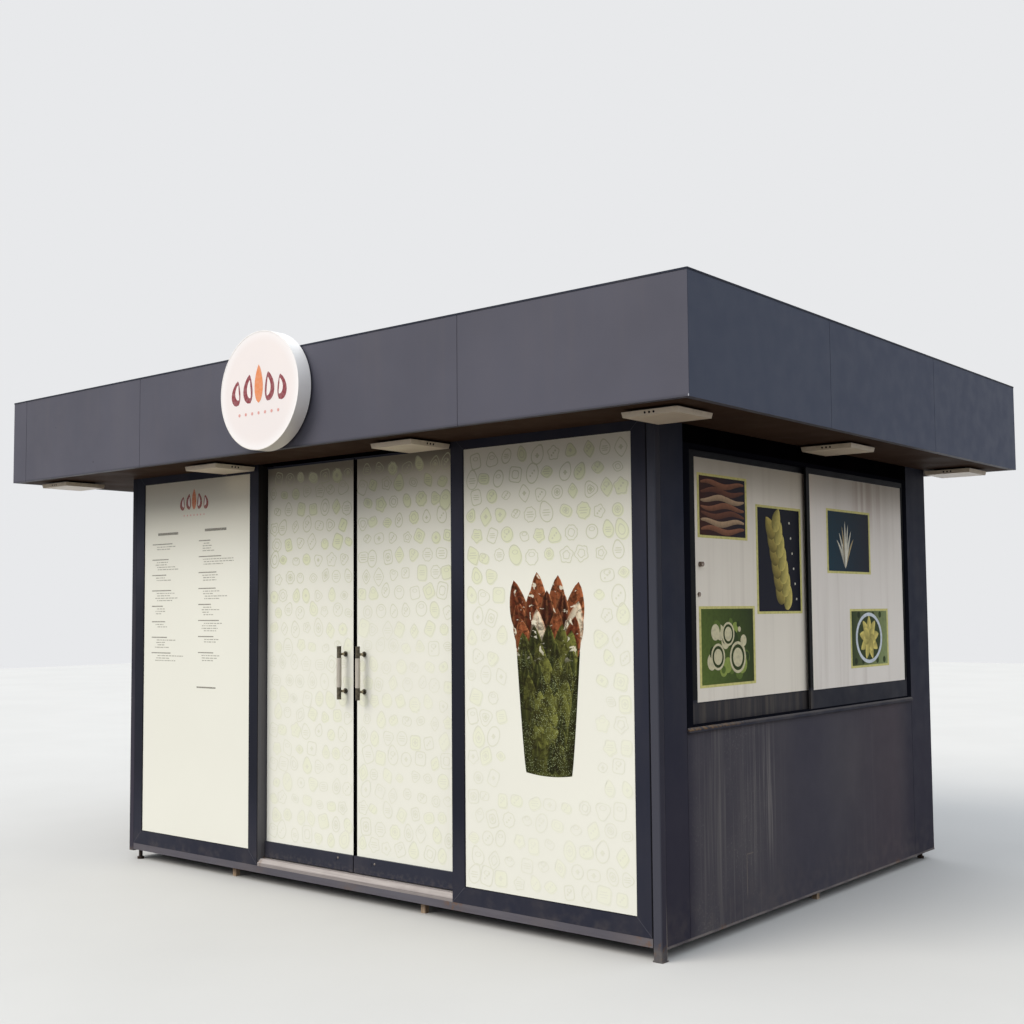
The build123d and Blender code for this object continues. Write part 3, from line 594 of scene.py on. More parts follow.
class KIOSK_OT_paint_base(bpy.types.Operator):
    """Finishes beams, feet, blocks, threshold, floor and ceiling"""

    bl_idname = "kiosk.paint_base"
    bl_label = "Finish Base And Floor"

    def execute(self, context):
        paints = context.scene.kiosk_paints
        f = painted("beam_paint", paints.beam, paints.dust, 0.25)
        end = edges("base_frame")[1][0]
        f.lay(tone(74, 70, 78), f.patches((3, 3, 30), 4, 0.35, 0.7), 0.3)
        f.lay(tone(118, 110, 108), f.ramp(f.x, 1.9, 2.15, 0, 0.35))
        joints = f.most(f.ramp(f.x, end - 0.12, end - 0.05), f.band(f.x, 0.9, 1.02, 0.03))
        flecks = f.times(f.patches(5, 6, 0.6, 0.68, roughness=0.62), 0.3)
        f.lay(paints.rust, f.most(flecks, f.times(joints, f.patches(36, 5, 0.45, 0.66))), 0.5)
        f.bump(f.noise(60, 5), 0.3, 0.001)
        dress(f, "base_frame")

        f = Finish("rusty_foot", roughness=0.85, metallic=0.2)
        scale = f.noise(90, 6, 0.7)
        f.colour = f.mix(f.ramp(scale, 0.4, 0.75), tone(30, 26, 26), tone(86, 58, 38))
        f.bump(scale, 0.8, 0.002)
        dress(f, "steel_feet")

        f = Finish("packing_wood", roughness=0.85, specular=0.2)
        grain = f.noise((60, 60, 9), 5, 0.6)
        f.colour = f.mix(f.ramp(grain, 0.3, 0.7), tone(150, 126, 102), tone(200, 178, 152))
        f.bump(grain, 0.6, 0.002)
        dress(f, "wooden_blocks")

        f = Finish("threshold_metal", metallic=0.1, specular=0.4)
        left, _, foot = edges("threshold")[0]
        brushed, worn = f.noise((4, 260, 260), 4), f.patches(7, 5, 0.4, 0.75)
        f.colour = f.mix(f.ramp(brushed, 0.3, 0.7), tone(158, 150, 147), tone(178, 170, 166))
        f.lay(tone(112, 104, 102), worn, 0.25)
        # painted shade: the low front face of the nose darker
        f.lay(tone(96, 90, 92), f.ramp(f.z, foot + 0.022, foot + 0.016), 0.45)
        f.lay(paints.rust, f.ramp(f.x, left + 0.05, left + 0.015), f.patches(60, 4, 0.45, 0.65), 0.6)
        f.rough = f.ramp(worn, 0, 1, 0.4, 0.6)
        f.bump(brushed, 0.2, 0.0006)
        dress(f, "threshold")

        f = Finish("floor_sheet", roughness=0.6)
        speck, joint = f.noise(70, 4), f.ramp(f.sum("PINGPONG", f.y, 0.61), 0.004, 0.0015)
        f.colour = f.mix(f.ramp(speck, 0.3, 0.7), tone(118, 114, 108), tone(150, 146, 138))
        f.lay(tone(60, 58, 56), joint)
        f.bump(f.sum("SUBTRACT", speck, joint), 0.3, 0.001)
        dress(f, "floor_panel")

        f = mottled("ceiling_sheet", tone(222, 221, 216), tone(232, 231, 227), 3, roughness=0.35)
        joint = f.ramp(f.sum("PINGPONG", f.x, 0.125), 0.003, 0.001)
        f.lay(tone(160, 158, 152), joint)
        f.bump(f.times(joint, -1), 0.5, 0.002)
        dress(f, "ceiling_panel")
        return {"FINISHED"}


def behind_sides(f):
    """How far a point of the light trays lies behind their sloping sides.

    The middle of each tray is found from the corners of its square plate at the soffit. The distance
    is half the tray's size, less its slope times the drop below its top, less the larger of the
    distances from the nearest middle along the two level axes.
    """
    plate, half, gap, slope = 0.2, 0.147, 0.012, math.tan(math.radians(11))
    points = corners_of("light_trays")
    high = points[:, 2].max()
    top = np.unique(points[points[:, 2] > high - 0.0005][:, :2].round(4), axis=0)
    steps = top[None] - top[:, None]
    found = [(np.abs(steps - step).max(-1) < 0.001).any(1) for step in ((plate, 0), (0, plate))]
    nearest = 9
    for x, y in (top[found[0] & found[1]] + plate / 2).tolist():
        nearest = f.sum("MINIMUM", nearest, f.most(f.away(f.x, x), f.away(f.y, y)))
    drop = f.sum("SUBTRACT", high - gap, f.z)
    return f.sum("SUBTRACT", f.sum("SUBTRACT", half, f.times(drop, slope)), nearest)


class KIOSK_OT_finish_fittings(bpy.types.Operator):
    """Finishes lights, sign, brackets, handles and the window knob"""

    bl_idname = "kiosk.finish_fittings"
    bl_label = "Finish Fittings"

    def execute(self, context):
        light = context.scene.kiosk_paints.light
        top = edges("light_trays")[1][2]
        f = mottled("light_shell", light, scaled(light, 0.88), 6, 4, 0.3, 0.75,
                    roughness=0.45, specular=0.3)
        f.lay(tone(140, 122, 98), f.ramp(f.z, top - 0.03, top - 0.014), f.patches(25, 4, 0.4, 0.7), 0.35)
        # painted shade: the spacer plate at the soffit and the insides of the vent holes near black
        plate, behind = f.ramp(f.z, top - 0.0135, top - 0.0125), f.ramp(behind_sides(f), 0.0004, 0.0012)
        shaded_vents = f.times(behind, f.band(f.z, top - 0.0325, top - 0.0175, 0.0005))
        f.lay(tone(24, 20, 18), f.most(plate, shaded_vents))
        dress(f, "light_trays")

        f = Finish("light_lens", roughness=0.3, specular=0.3, colour=scaled(light, 1.15))
        f.lay(tone(200, 182, 152), f.patches(9, 5, 0.35, 0.75), 0.15)
        f.bump(f.sum("PINGPONG", f.x, 0.004), 0.3, 0.001)
        dress(f, "light_lenses")

        low, high = edges("sign_drum")
        centre = (low + high) / 2
        f = Finish("sign_side", specular=0.3, colour=tone(252, 250, 247))
        f.lay(tone(226, 220, 212), f.patches(9, 4, 0.35, 0.75), 0.12)
        f.lay(tone(196, 188, 170), f.ramp(f.z, low[2] + 0.25, low[2]), 0.3)
        dress(f, "sign_drum")

        f = Finish("sign_face", roughness=0.3, specular=0.3, colour=tone(250, 248, 248))
        face = f.mix(f.patches(2, 3, 0.3, 0.7), tone(243, 235, 232), tone(239, 232, 230))
        f.lay(face, f.near((centre[0], 0, centre[2]), (high[0] - low[0]) / 2 - 0.02, flat=(1, 0, 1)))
        dress(f, "sign_face")

        low, high = edges("left_door_handles")
        f = mottled("handle_steel", tone(56, 50, 38), tone(96, 88, 72), 60, 4, 0.35, 0.65, metallic=0.35)
        brushed = f.noise((600, 600, 12))
        grip = f.band(f.z, low[2] + 0.068, high[2] - 0.066, 0.0008)
        neck = f.band(f.away(f.y, (low[1] + high[1]) / 2), 0.023, 0.042, 0.001)
        f.lay(tone(168, 154, 130), neck)
        f.lay(f.mix(f.ramp(brushed, 0.3, 0.7), tone(172, 164, 152), tone(202, 195, 182)), grip)
        f.rough = f.ramp(grip, 0, 1, 0.42, 0.3)
        f.bump(brushed, 0.15, 0.0004)
        dress(f, "left_door_handles", "right_door_handles")

        f = mottled("bracket_steel", tone(110, 110, 112), tone(150, 150, 150), 30, 4, metallic=0.7)
        dress(f, "sign_brackets")
        f = mottled("knob_steel", tone(84, 66, 54), tone(150, 136, 122), 120, 3, 0.35, 0.65,
                    roughness=0.45, metallic=0.5)
        dress(f, "window_knob")
        return {"FINISHED"}


# Films and prints


class KIOSK_OT_lay_films(bpy.types.Operator):
    """Lays the cream films behind the glass, with edges, drift, rain streaks and painted shade near their
    tops
    """

    bl_idname = "kiosk.lay_films"
    bl_label = "Lay Films"

    def execute(self, context):
        films, dust = context.scene.kiosk_films, context.scene.kiosk_paints.dust
        f = mottled("front_film", films.cream, scaled(films.cream, 0.97), 0.9, 4, specular=0.05)
        face, top = edges("front_left_glass")[0][1], edges("front_left_glass")[1][2]
        recessed = f.ramp(f.y, face + 0.02, face + 0.03)
        # painted shade: the films darker and warmer towards their tops below the roof, darker still at the
        # top of the doors' recess
        f.lay(tone(190, 176, 138), f.ramp(f.z, top - 0.6, top, 0, 0.26))
        f.lay(tone(120, 106, 82), recessed, f.ramp(f.z, top - 0.2, top + 0.02), 0.5)
        f.lay(tone(60, 52, 40), recessed, f.ramp(f.z, top - 0.1, top), 0.45)
        left, right = edges("left_door_glass")[1][0], edges("right_door_glass")[0][0]
        # painted shade: the glass edges in the gap between the door leaves near black
        f.lay(tone(10, 10, 12), recessed, f.band(f.x, left - 0.0004, right + 0.0004, 0.0002))
        dress(f, "front_left_glass", "front_right_glass", "left_door_glass", "right_door_glass")

        (_, near, foot), (_, _, top) = edges("right_window_glass")
        f = Finish("side_film", specular=0.05, colour=films.side)
        run = f.noise((13, 13, 0.5), roughness=0.6)
        f.lay(tone(250, 243, 233), f.ramp(f.y, near + 1.1, near + 1.25))
        f.lay(dust, f.patches(1.1, 4, 0.3, 0.7), 0.08)
        f.lay(tone(158, 140, 122), f.ramp(run, 0.45, 0.8), f.ramp(f.z, foot, foot + 0.8, 0.24, 0.12))
        f.lay(tone(170, 158, 142), f.patches((120, 120, 1.6), 3, 0.5, 0.8), 0.04)
        wash = f.times(f.patches((16, 16, 0.4), 2, 0.4, 0.65), f.ramp(f.z, top - 0.4, top - 0.05))
        f.lay(tone(150, 104, 84), f.band(f.y, near + 1.72, near + 2.1, 0.1), wash, 0.4)
        # painted shade: the films darker towards their tops below the roof
        f.lay(tone(128, 120, 98), f.ramp(f.z, top - 0.24, top, 0, 0.5))
        f.rough = f.ramp(run, 0.3, 0.8, 0.45, 0.7)
        dress(f, "right_window_glass", "left_window_glass")
        return {"FINISHED"}


OUTLINES = (
    dict(square=2), dict(square=5, tall=1.2), dict(point=0.5), dict(lobes=5, share=0.13), dict(tall=1.35),
    dict(square=1.3, tall=1.3), dict(square=3, tall=0.75), dict(lobes=3, share=0.14), dict(square=6),
    dict(lobes=8, share=0.07), dict(square=1.5, tall=0.8), dict(point=0.3, tall=1.2),
)


def mark(place, size, line, outline, inner, turn):
    """Flat shapes of one small mark: its outline and some details inside it, picked by the number inner."""
    shapes = [ring(curve(20, turn=turn, **outline), place, size, line)]
    if inner in (1, 5):
        shapes.append(ring(curve(12, turn=turn, **outline), place, size * 0.55, line * 0.9))
    if inner in (2, 6):
        for lift in (-0.3, 0, 0.3):
            half, z = size * (0.6 - abs(lift) * 0.5), place[1] + lift * size
            shapes.append(bar(place[0] - half, z - line * 0.45, place[0] + half, z + line * 0.45))
    if inner in (3, 5):
        shapes.append(patch(curve(10, lobes=4, share=0.3), place, size * 0.3))
    if inner in (4, 7):
        for shift in ((-0.32, -0.32), (0.3, 0.3), (0, 0)):
            shapes.append(patch(curve(8), place + np.array(shift) * size, line * 1.1))
    if inner in (0, 7):
        shapes.append(ring(curve(14, tall=0.6), place + (0, size * 0.34), size * 0.5, line * 0.9))
    return shapes


def marks(limits, y, films, seed, keep_out):
    """Grids of small printed marks on a pane, on a staggered lattice shifted by seeded chance.

    Less than half of the marks have a pale patch below them. No mark lies in the box keep_out.
    """
    chance = np.random.default_rng(seed)
    left, bottom, right, top = limits
    columns, rows = round((right - left) / films.pitch), int((top - bottom) / (films.pitch * 0.98))
    step_x, step_z = (right - left) / columns, (top - bottom) / rows
    grids = []
    for row in range(rows):
        for column in range(columns):
            shift = 0.24 if row % 2 else -0.24
            place = np.array((left + (column + 0.5 + shift) * step_x, bottom + (row + 0.5) * step_z))
            place = place + chance.uniform(-0.011, 0.011, 2)
            size = films.pitch * chance.uniform(0.3, 0.43)
            outline = OUTLINES[chance.integers(len(OUTLINES))]
            inner, turn = int(chance.integers(8)), chance.uniform(-0.5, 0.5)
            filled = chance.random() < 0.42
            lowest = (left + size * 1.25, bottom + size * 1.5)
            place = np.clip(place, lowest, (right - size * 1.25, top - size * 1.6))
            if keep_out[0] < place[0] < keep_out[2] and keep_out[1] < place[1] < keep_out[3]:
                continue
            level = y - 3 * HAIR * ((3 * row + column) % 5)
            if filled:
                below = patch(curve(20, turn=turn, **outline), place + (0.004, -0.005), size * 0.97)
                grids.append((front(below, level), films.fill))
            for layer, shape in enumerate(mark(place, size, films.line, outline, inner, turn)):
                grids.append((front(shape, level - (10 + layer) * HAIR), films.mark))
    return grids


def pane(node, margin=0.004):
    """Left, bottom, right and top of a front pane, drawn in by a margin, and its outer face."""
    low, high = edges(node)
    return (low[0] + margin, low[2] + margin, high[0] - margin, high[2] - margin), low[1]


def sheaf_place():
    """Left, bottom, right and top of the large print on the right pane."""
    right = edges("front_right_glass")[1][0]
    return np.array((right - 0.764, 0.785, right - 0.259, 1.782))


class KIOSK_OT_print_marks(bpy.types.Operator):
    """Prints the faint small marks on the door leaves and the right pane"""

    bl_idname = "kiosk.print_marks"
    bl_label = "Print Small Marks"

    def execute(self, context):
        films = context.scene.kiosk_films
        top = edges("front_right_glass")[1][2]
        f = ink("mark_ink")
        worn, lower = f.patches(3, 3, 0.3, 0.7, 0, 0.2), f.ramp(f.z, top - 1.1, top - 0.3, 0.56, 0)
        f.lay(films.cream, f.sum("ADD", worn, lower))
        # painted shade: the marks darker towards the top, below the roof
        f.lay(tone(132, 122, 98), f.ramp(f.z, top - 0.5, top, 0, 0.22))
        material = f.done()
        keep_out = sheaf_place() + (-0.03, -0.06, 0.03, 0.03)
        for seed, part, body in ((11, "left_door", "left_door"), (12, "right_door", "right_door"),
                                 (13, "front_right", "kiosk")):
            limits, face = pane(part + "_glass", 0.012)
            grids = marks(limits, face - PRINT_GAP, films, seed, keep_out)
            build(part + "_marks", grids, material, body=body)
        return {"FINISHED"}


def sheaf_wrap(middle, bottom, tall, y):
    """The green wrap below the leaves, dark at its edges and in slow rings.

    Half its width is 0.142 + 0.055 * along^0.8, and its foot bows down by 0.012 * across^2 towards
    the middle, with along from 0 to 1 and across from -1 to 1.
    """
    along, across = np.meshgrid(np.linspace(0, 1, 12), np.linspace(-1, 1, 15), indexing="ij")
    wide = 0.142 + 0.055 * along**0.8
    flat = np.stack([middle + wide * across, bottom + 0.012 * across**2 + 0.6 * tall * along], -1)
    dim = (1 - 0.75 * np.abs(across) ** 3) * (0.8 + 0.2 * np.cos(along * 26 - across**2 * 1.6))
    return front(flat, y), np.array(tone(78, 82, 42)) * dim[..., None]


def sheaf_leaves(middle, bottom, tall, y):
    """Rows of leaves from the top of the sheaf down: brown ones above, green ones below, with pale rims.

    At a share of the sheaf's height its half width is 0.085 + 0.11 * share, and the leaves that
    start there are up to 0.19 + 0.28 * share long.
    """
    chance = np.random.default_rng(8)
    greens = (tone(64, 66, 34), tone(92, 94, 46), tone(50, 54, 28), tone(112, 114, 56))
    browns = (tone(104, 48, 30), tone(142, 78, 48), tone(66, 28, 20), tone(176, 116, 76),
              tone(224, 212, 186))
    grids = []
    for row in range(11):
        share = 0.64 - row * 0.064
        half = 0.085 + 0.11 * share
        for place in np.linspace(-1, 1, 5 if row % 2 else 4):
            base = (middle + place * half * 0.74, bottom + (share + 0.012) * tall)
            lean = place * (0.1 + 0.55 * share) + chance.uniform(-0.06, 0.06)
            reach = (0.19 + 0.28 * share) * chance.uniform(0.88, 1) * (1 - 0.12 * abs(place))
            flat, along, across = leaf(base, lean, reach, half * 0.4)
            pick = browns if share > 0.47 else greens
            body, rim = np.array(pick[chance.integers(len(pick))]), np.array(scaled(pick[3], 1.25))
            edge = np.abs(across) ** 5 * 0.8 + np.exp(-((across * 8) ** 2)) * 0.35
            edge = np.clip(edge, 0, 1) * along**0.5
            tint = (body * (1 - edge) + rim * edge) * (0.45 + 0.55 * along) * (1 + 0.35 * across)
            grids.append((front(flat, y - 3 * HAIR * (len(grids) + 1)), tint))
    return grids


class KIOSK_OT_print_sheaf(bpy.types.Operator):
    """Prints the large sheaf of leaves on the right pane"""

    bl_idname = "kiosk.print_sheaf"
    bl_label = "Print Leaf Sheaf"

    def execute(self, context):
        left, bottom, right, top = sheaf_place()
        middle, tall = (left + right) / 2, top - bottom
        y = edges("front_right_glass")[0][1] - 1.5 * PRINT_GAP
        f = ink("sheaf_ink")
        green_part = f.ramp(f.z, bottom + 0.64, bottom + 0.54)
        cells = f.node("ShaderNodeTexVoronoi", Vector=f.place, Scale=150).outputs[0]
        f.lay(tone(26, 20, 12), f.patches(30, 5, 0.42, 0.62, roughness=0.65, twist=0.8), 0.72)
        f.lay(tone(186, 198, 150), f.ramp(cells, 0.3, 0.14), f.patches(9, 3, 0.38, 0.55), green_part, 0.8)
        glints = f.times(f.patches(21, 3, 0.6, 0.64, twist=0.8), f.sum("SUBTRACT", 1, green_part))
        f.lay(tone(232, 226, 204), glints, 0.75)
        grids = [sheaf_wrap(middle, bottom, tall, y), *sheaf_leaves(middle, bottom, tall, y)]
        build("leaf_sheaf", grids, f.done())
        return {"FINISHED"}


def ornament(centre, size, y, wine, orange):
    """A bud between two pairs of curved leaves, with a row of dots below."""
    x, z = centre
    grids = []
    for turn in (-1, 1):
        for away, lean, tall in ((0.26, 0.5, 0.95), (0.62, 0.75, 0.8)):
            foot = x + turn * away * size
            outer, _, _ = leaf((foot, z - 0.2 * size), turn * lean, size * tall * 0.62, size * 0.15, 0.9)
            inner, _, _ = leaf((foot, z - 0.1 * size), turn * lean, size * tall * 0.4, size * 0.06, 0.9)
            grids += [(front(outer, y), wine), (front(inner, y - 10 * HAIR), tone(243, 235, 232))]
    flat, _, _ = leaf((x, z - 0.22 * size), 0, size * 0.78, size * 0.13)
    grids.append((front(flat, y - 10 * HAIR), orange))
    for dot in range(-3, 4):
        place = (x + dot * size * 0.2, z - size * 0.42)
        grids.append((front(patch(curve(12), place, size * 0.034), y), tone(222, 160, 152)))
    return grids


class KIOSK_OT_print_notice(bpy.types.Operator):
    """Prints the ornament and the plain rules of the notice on the left pane"""

    bl_idname = "kiosk.print_notice"
    bl_label = "Print Notice"

    def execute(self, context):
        (left, _, _, top), face = pane("front_left_glass")
        y = face - PRINT_GAP
        chance = np.random.default_rng(5)
        f = ink("notice_ink")
        f.lay(tone(226, 223, 208), f.patches(200, 2, 0.35, 0.75, 0, 0.45))
        grey, dark = tone(156, 154, 145), tone(126, 124, 116)
        rules = []
        for start, z in ((left + 0.082, top - 0.338), (left + 0.572, top - 0.33)):
            rules.append((bar(start + 0.06, z, start + 0.275, z + 0.016), dark))
            z -= 0.06
            for block in range(8):
                wide = chance.uniform(0.18, 0.4)
                rules.append((bar(start, z, start + wide * 0.6, z + 0.006), dark))
                for row in range(chance.integers(2, 5)):
                    low = z - 0.017 - row * 0.0155
                    stops = np.cumsum(chance.uniform(0.014, 0.045, 14))
                    reach = wide * chance.uniform(0.5, 1)
                    for first, last in zip(stops[:-1], stops[1:]):
                        if last < reach:
                            dash = bar(start + 0.02 + first, low, start + 0.014 + last, low + 0.005)
                            rules.append((dash, grey))
                z -= 0.1
        rules.append((bar(left + 0.56, 1.125, left + 0.75, 1.134), dark))
        grids = ornament((left + 0.52, top - 0.15), 0.17, y, tone(150, 62, 60), tone(214, 120, 76))
        grids += [(front(flat, y), colour) for flat, colour in rules]
        build("notice_rules", grids, f.done())
        return {"FINISHED"}


def waves(low, size, x, tones):
    """Bands that swing by 0.01 * sin(8 * along + 1.1 * number).

    The half width of each is 0.004 + 0.011 * sin(pi * along)^0.6, with along from 0 to 1.
    """
    along = np.linspace(0, 1, 29)
    half = 0.004 + 0.011 * np.sin(np.pi * along) ** 0.6
    across = low[0] + 0.012 + along * (size[0] - 0.024)
    grids = []
    for number in range(7):
        base = low[1] + size[1] * (0.1 + 0.13 * number) + 0.01 * np.sin(along * 8 + number * 1.1)
        flat = np.stack([np.stack([across, base - half], -1), np.stack([across, base + half], -1)])
        colour = np.array(tones[number % len(tones)]) * np.array((0.6, 1.2))[:, None, None]
        grids.append((side(flat, x + 2 * HAIR * number), colour))
    return grids


def vine(low, size, x, tones):
    """Pairs of broad leaves along a leaning stalk, with small dots beside it."""
    grids = []
    for number in range(13):
        share = number / 13
        base = low + size * (0.62 - 0.28 * share, 0.02 + share * 0.82)
        flat, along, across = leaf(base, -0.85 if number % 2 else 0.6, size[0] * 0.3, size[0] * 0.1, 0.2)
        tint = np.array(tones[number % 2]) * (0.75 + 0.45 * across) * (0.7 + 0.3 * along)
        grids.append((side(flat, x + 2 * HAIR * number), tint))
    for number in range(6):
        place = low + size * (0.9 - 0.03 * number, 0.12 + 0.15 * number)
        grids.append((side(patch(curve(10), place, 0.007), x), tones[2]))
    return grids


def discs(low, size, x, tones):
    """Overlapping round patches of several sizes."""
    chance = np.random.default_rng(3)
    grids = []
    for number in range(26):
        place = low + size * chance.uniform(0.12, 0.88, 2)
        radius = chance.uniform(0.012, 0.05)
        place = np.clip(place, low + radius, low + size - radius)
        flat = patch(curve(20), place, radius)
        grids.append((side(flat, x + 2 * HAIR * number), tones[number % len(tones)]))
    for u, v, radius in ((0.3, 0.36, 0.066), (0.68, 0.34, 0.08), (0.5, 0.66, 0.06)):
        for share, colour in ((1, tones[0]), (0.82, tones[-1]), (0.6, tones[0])):
            flat = patch(curve(28), low + size * (u, v), radius * share)
            grids.append((side(flat, x + 2 * HAIR * len(grids)), colour))
    return grids


def plume(low, size, x, tones):
    """Slim leaves that rise from one foot like a plume."""
    grids = []
    for number, lean in enumerate((-0.36, 0.36, -0.22, 0.22, -0.1, 0.1, 0)):
        reach = size[1] * (0.56 + 0.04 * number)
        flat, _, across = leaf(low + size * (0.4, 0.05), lean, reach, 0.012, -0.6)
        tint = np.array(tones[number % len(tones)]) * (0.8 + 0.4 * across)
        grids.append((side(flat, x + 2 * HAIR * number), tint))
    return grids


def rosette(low, size, x, tones):
    """A round patch with a pale rim and two rings of petals."""
    centre = low + size * (0.48, 0.5)
    grids = []
    for number in range(9):
        place = low + size * (0.1 + 0.1 * number, 0.93 if number % 2 else 0.08)
        grids.append((side(patch(curve(12), place, 0.02), x), scaled(tones[1], 0.5 + 0.08 * number)))
    for share, colour in ((0.375, tones[0]), (0.325, tones[1])):
        flat = patch(curve(32, tall=0.82), centre, size[0] * share)
        grids.append((side(flat, x + 10 * HAIR * (1 - share)), colour))
    for reach, petals in ((0.27, 9), (0.18, 7)):
        for turn in np.linspace(0, 2 * math.pi, petals, endpoint=False):
            flat, along, across = leaf(centre, turn, size[0] * reach, size[0] * 0.065, 0)
            tint = np.array(tones[2]) * (0.6 + 0.4 * along) * (1 + 0.3 * across)
            grids.append((side(flat, x + (10 + 2 * len(grids)) * HAIR), tint))
    return grids


STRAW, WHITE, CREAM = tone(226, 210, 120), tone(236, 232, 214), tone(222, 214, 176)
NAVY, TEAL, LEAFY, UMBER = tone(20, 22, 38), tone(12, 52, 68), tone(96, 116, 52), tone(66, 34, 26)
BROWN, BEIGE, MOSS = tone(146, 98, 74), tone(190, 160, 128), tone(52, 66, 30)
# Each card: left and right from the front of the corner post, bottom and top, whether it is on the
# near sash, its motif, the two colours of its ground and the colours of the motif
CARDS = (
    (0.425, 0.912, 1.943, 2.263, True, waves, (UMBER, NAVY), (BROWN, BEIGE, tone(112, 70, 54))),
    (1, 1.503, 1.565, 2.138, True, vine, (NAVY, scaled(NAVY, 0.8)), (STRAW, tone(200, 180, 98), WHITE)),
    (0.425, 0.973, 1.21, 1.607, True, discs, (LEAFY, MOSS), (CREAM, LEAFY, tone(150, 166, 84), MOSS)),
    (1.76, 2.335, 1.79, 2.158, False, plume, (TEAL, NAVY), (WHITE, tone(188, 170, 130), WHITE)),
    (2.036, 2.562, 1.243, 1.586, False, rosette, (MOSS, tone(150, 164, 110)),
     (tone(222, 230, 236), MOSS, STRAW)),
)


class KIOSK_OT_print_cards(bpy.types.Operator):
    """Puts the five framed cards on the right window"""

    bl_idname = "kiosk.print_cards"
    bl_label = "Print Window Cards"

    def execute(self, context):
        card = context.scene.kiosk_films.card
        points = corners_of("right_window_glass")
        start, far_face = edges("corner_posts")[0][1], points[:, 0].max()
        near_face = points[points[:, 0] < far_face - 0.01, 0].max()
        f = ink("card_ink", 0.45)
        f.lay(tone(34, 32, 30), f.patches(48, 5, 0.4, 0.7, roughness=0.6), 0.2)
        band = np.array((0.02, 0.013))
        grids = []
        for left, right, bottom, top, is_near, motif, grounds, tones in CARDS:
            face = near_face if is_near else far_face
            outer = bar(left + start, bottom, right + start, top)
            low, high = outer[0, 0] + band, outer[1, 1] - band
            ground = np.array([grounds, [scaled(colour, 0.8) for colour in grounds]])
            grids.append((side(outer, face + PRINT_GAP), card))
            grids.append((side(bar(*low, *high), face + 1.5 * PRINT_GAP), ground))
            grids += motif(low, high - low, face + 2 * PRINT_GAP, tones)
        build("window_cards", grids, f.done())
        return {"FINISHED"}


class KIOSK_OT_print_sign(bpy.types.Operator):
    """Prints a plain leaf ornament on the round sign"""

    bl_idname = "kiosk.print_sign"
    bl_label = "Print Sign Pattern"

    def execute(self, context):
        low, high = edges("sign_face")
        centre = ((low[0] + high[0]) / 2, (low[2] + high[2]) / 2 - 0.01)
        f = ink("sign_ink", 0.35, 0.3)
        f.lay(tone(240, 232, 228), f.patches(60, 3, 0.3, 0.7, 0, 0.12))
        grids = ornament(centre, 0.27, low[1] - PRINT_GAP, tone(136, 48, 58), tone(230, 140, 84))
        build("sign_pattern", grids, f.done(), smooth=False)
        return {"FINISHED"}


# Trims


class KIOSK_OT_add_seals(bpy.types.Operator):
    """Adds the rubber beads round the fixed front panes and the side window panes, and between the door
    leaves
    """

    bl_idname = "kiosk.add_seals"
    bl_label = "Add Seals"

    def execute(self, context):
        trim = context.scene.kiosk_paints.trim
        f = mottled("seal_rubber", scaled(trim, 2), scaled(trim, 4), 80, roughness=0.6, specular=0.2)
        rubber = f.done()
        for part in ("front_left", "front_right"):
            limits, face = pane(part + "_glass", 0)
            flat, rise = bead(limits, 0.004, 0.004)
            build(part + "_seal", [(front(flat, face - rise), trim)], rubber)

        f = mottled("edge_rubber", scaled(trim, 0.3), scaled(trim, 0.8), 40, roughness=0.9, specular=0)
        black = f.done()
        for body, inner, width in (("left_door", 2, -0.009), ("right_door", 0, 0.013)):
            limits, face = pane(body + "_glass", 0)
            ends = sorted((limits[inner], limits[inner] + width))
            flat, rise = strip(*ends, limits[1], limits[3], 0.002)
            grid = front(flat, face - PRINT_GAP / 2 - rise)
            build(body + "_edge_seal", [(grid, trim)], black, body)

        for window, turn in (("right_window", 1), ("left_window", -1)):
            points = corners_of(window + "_glass")
            outward = points[:, 0] * turn
            grids = []
            for group in (points[outward > outward.max() - 0.01], points[outward < outward.max() - 0.015]):
                low, high = group.min(0), group.max(0)
                if high[1] < 0.5:
                    high[1] += 0.006
                flat, rise = bead((low[1], low[2], high[1], high[2]), 0.004, 0.003)
                grid = side(flat, turn * ((group[:, 0] * turn).max() + rise))
                grids.append((grid if turn > 0 else grid[:, ::-1], trim))
            build(window + "_seal", grids, rubber)
        return {"FINISHED"}


class KIOSK_OT_add_locks(bpy.types.Operator):
    """Adds the dark steel heads of the floor locks in the door rails"""

    bl_idname = "kiosk.add_locks"
    bl_label = "Add Lock Heads"

    def execute(self, context):
        f = mottled("lock_steel", tone(104, 98, 94), tone(140, 132, 124), 300, 3, 0.35, 0.65,
                    roughness=0.35, metallic=0.6)
        steel = f.done()
        # Across the front and up, as read off the photo
        for body, place in (("left_door", (0.0345, 0.2135)), ("right_door", (0.3275, 0.211))):
            rim = edges(body + "_rails")[0][1] + 0.0019
            flat, rise = dome(place, 0.0068, 0.003)
            grid = front(flat, rim - rise)
            build(body + "_lock_head", [(grid, tone(210, 200, 186))], steel, body)
        return {"FINISHED"}


# Stage


def lay_floor(scene, stage):
    """A wide plain floor that looks pale and gives off a duller light."""
    f = Finish("floor_plain", roughness=0.9, specular=0.1, colour=tone(112, 104, 98))
    f.lay(f.mix(f.patches(0.7, 3, 0.3, 0.7), stage.floor, scaled(stage.floor, 0.97)), f.seen())
    half = 30
    mesh = bpy.data.meshes.new("floor")
    mesh.from_pydata([(x, y, 0) for y in (-half, half) for x in (-half, half)], [], [(0, 1, 3, 2)])
    mesh.materials.append(f.done())
    floor = bpy.data.objects.new("floor", mesh)
    scene.collection.objects.link(floor)


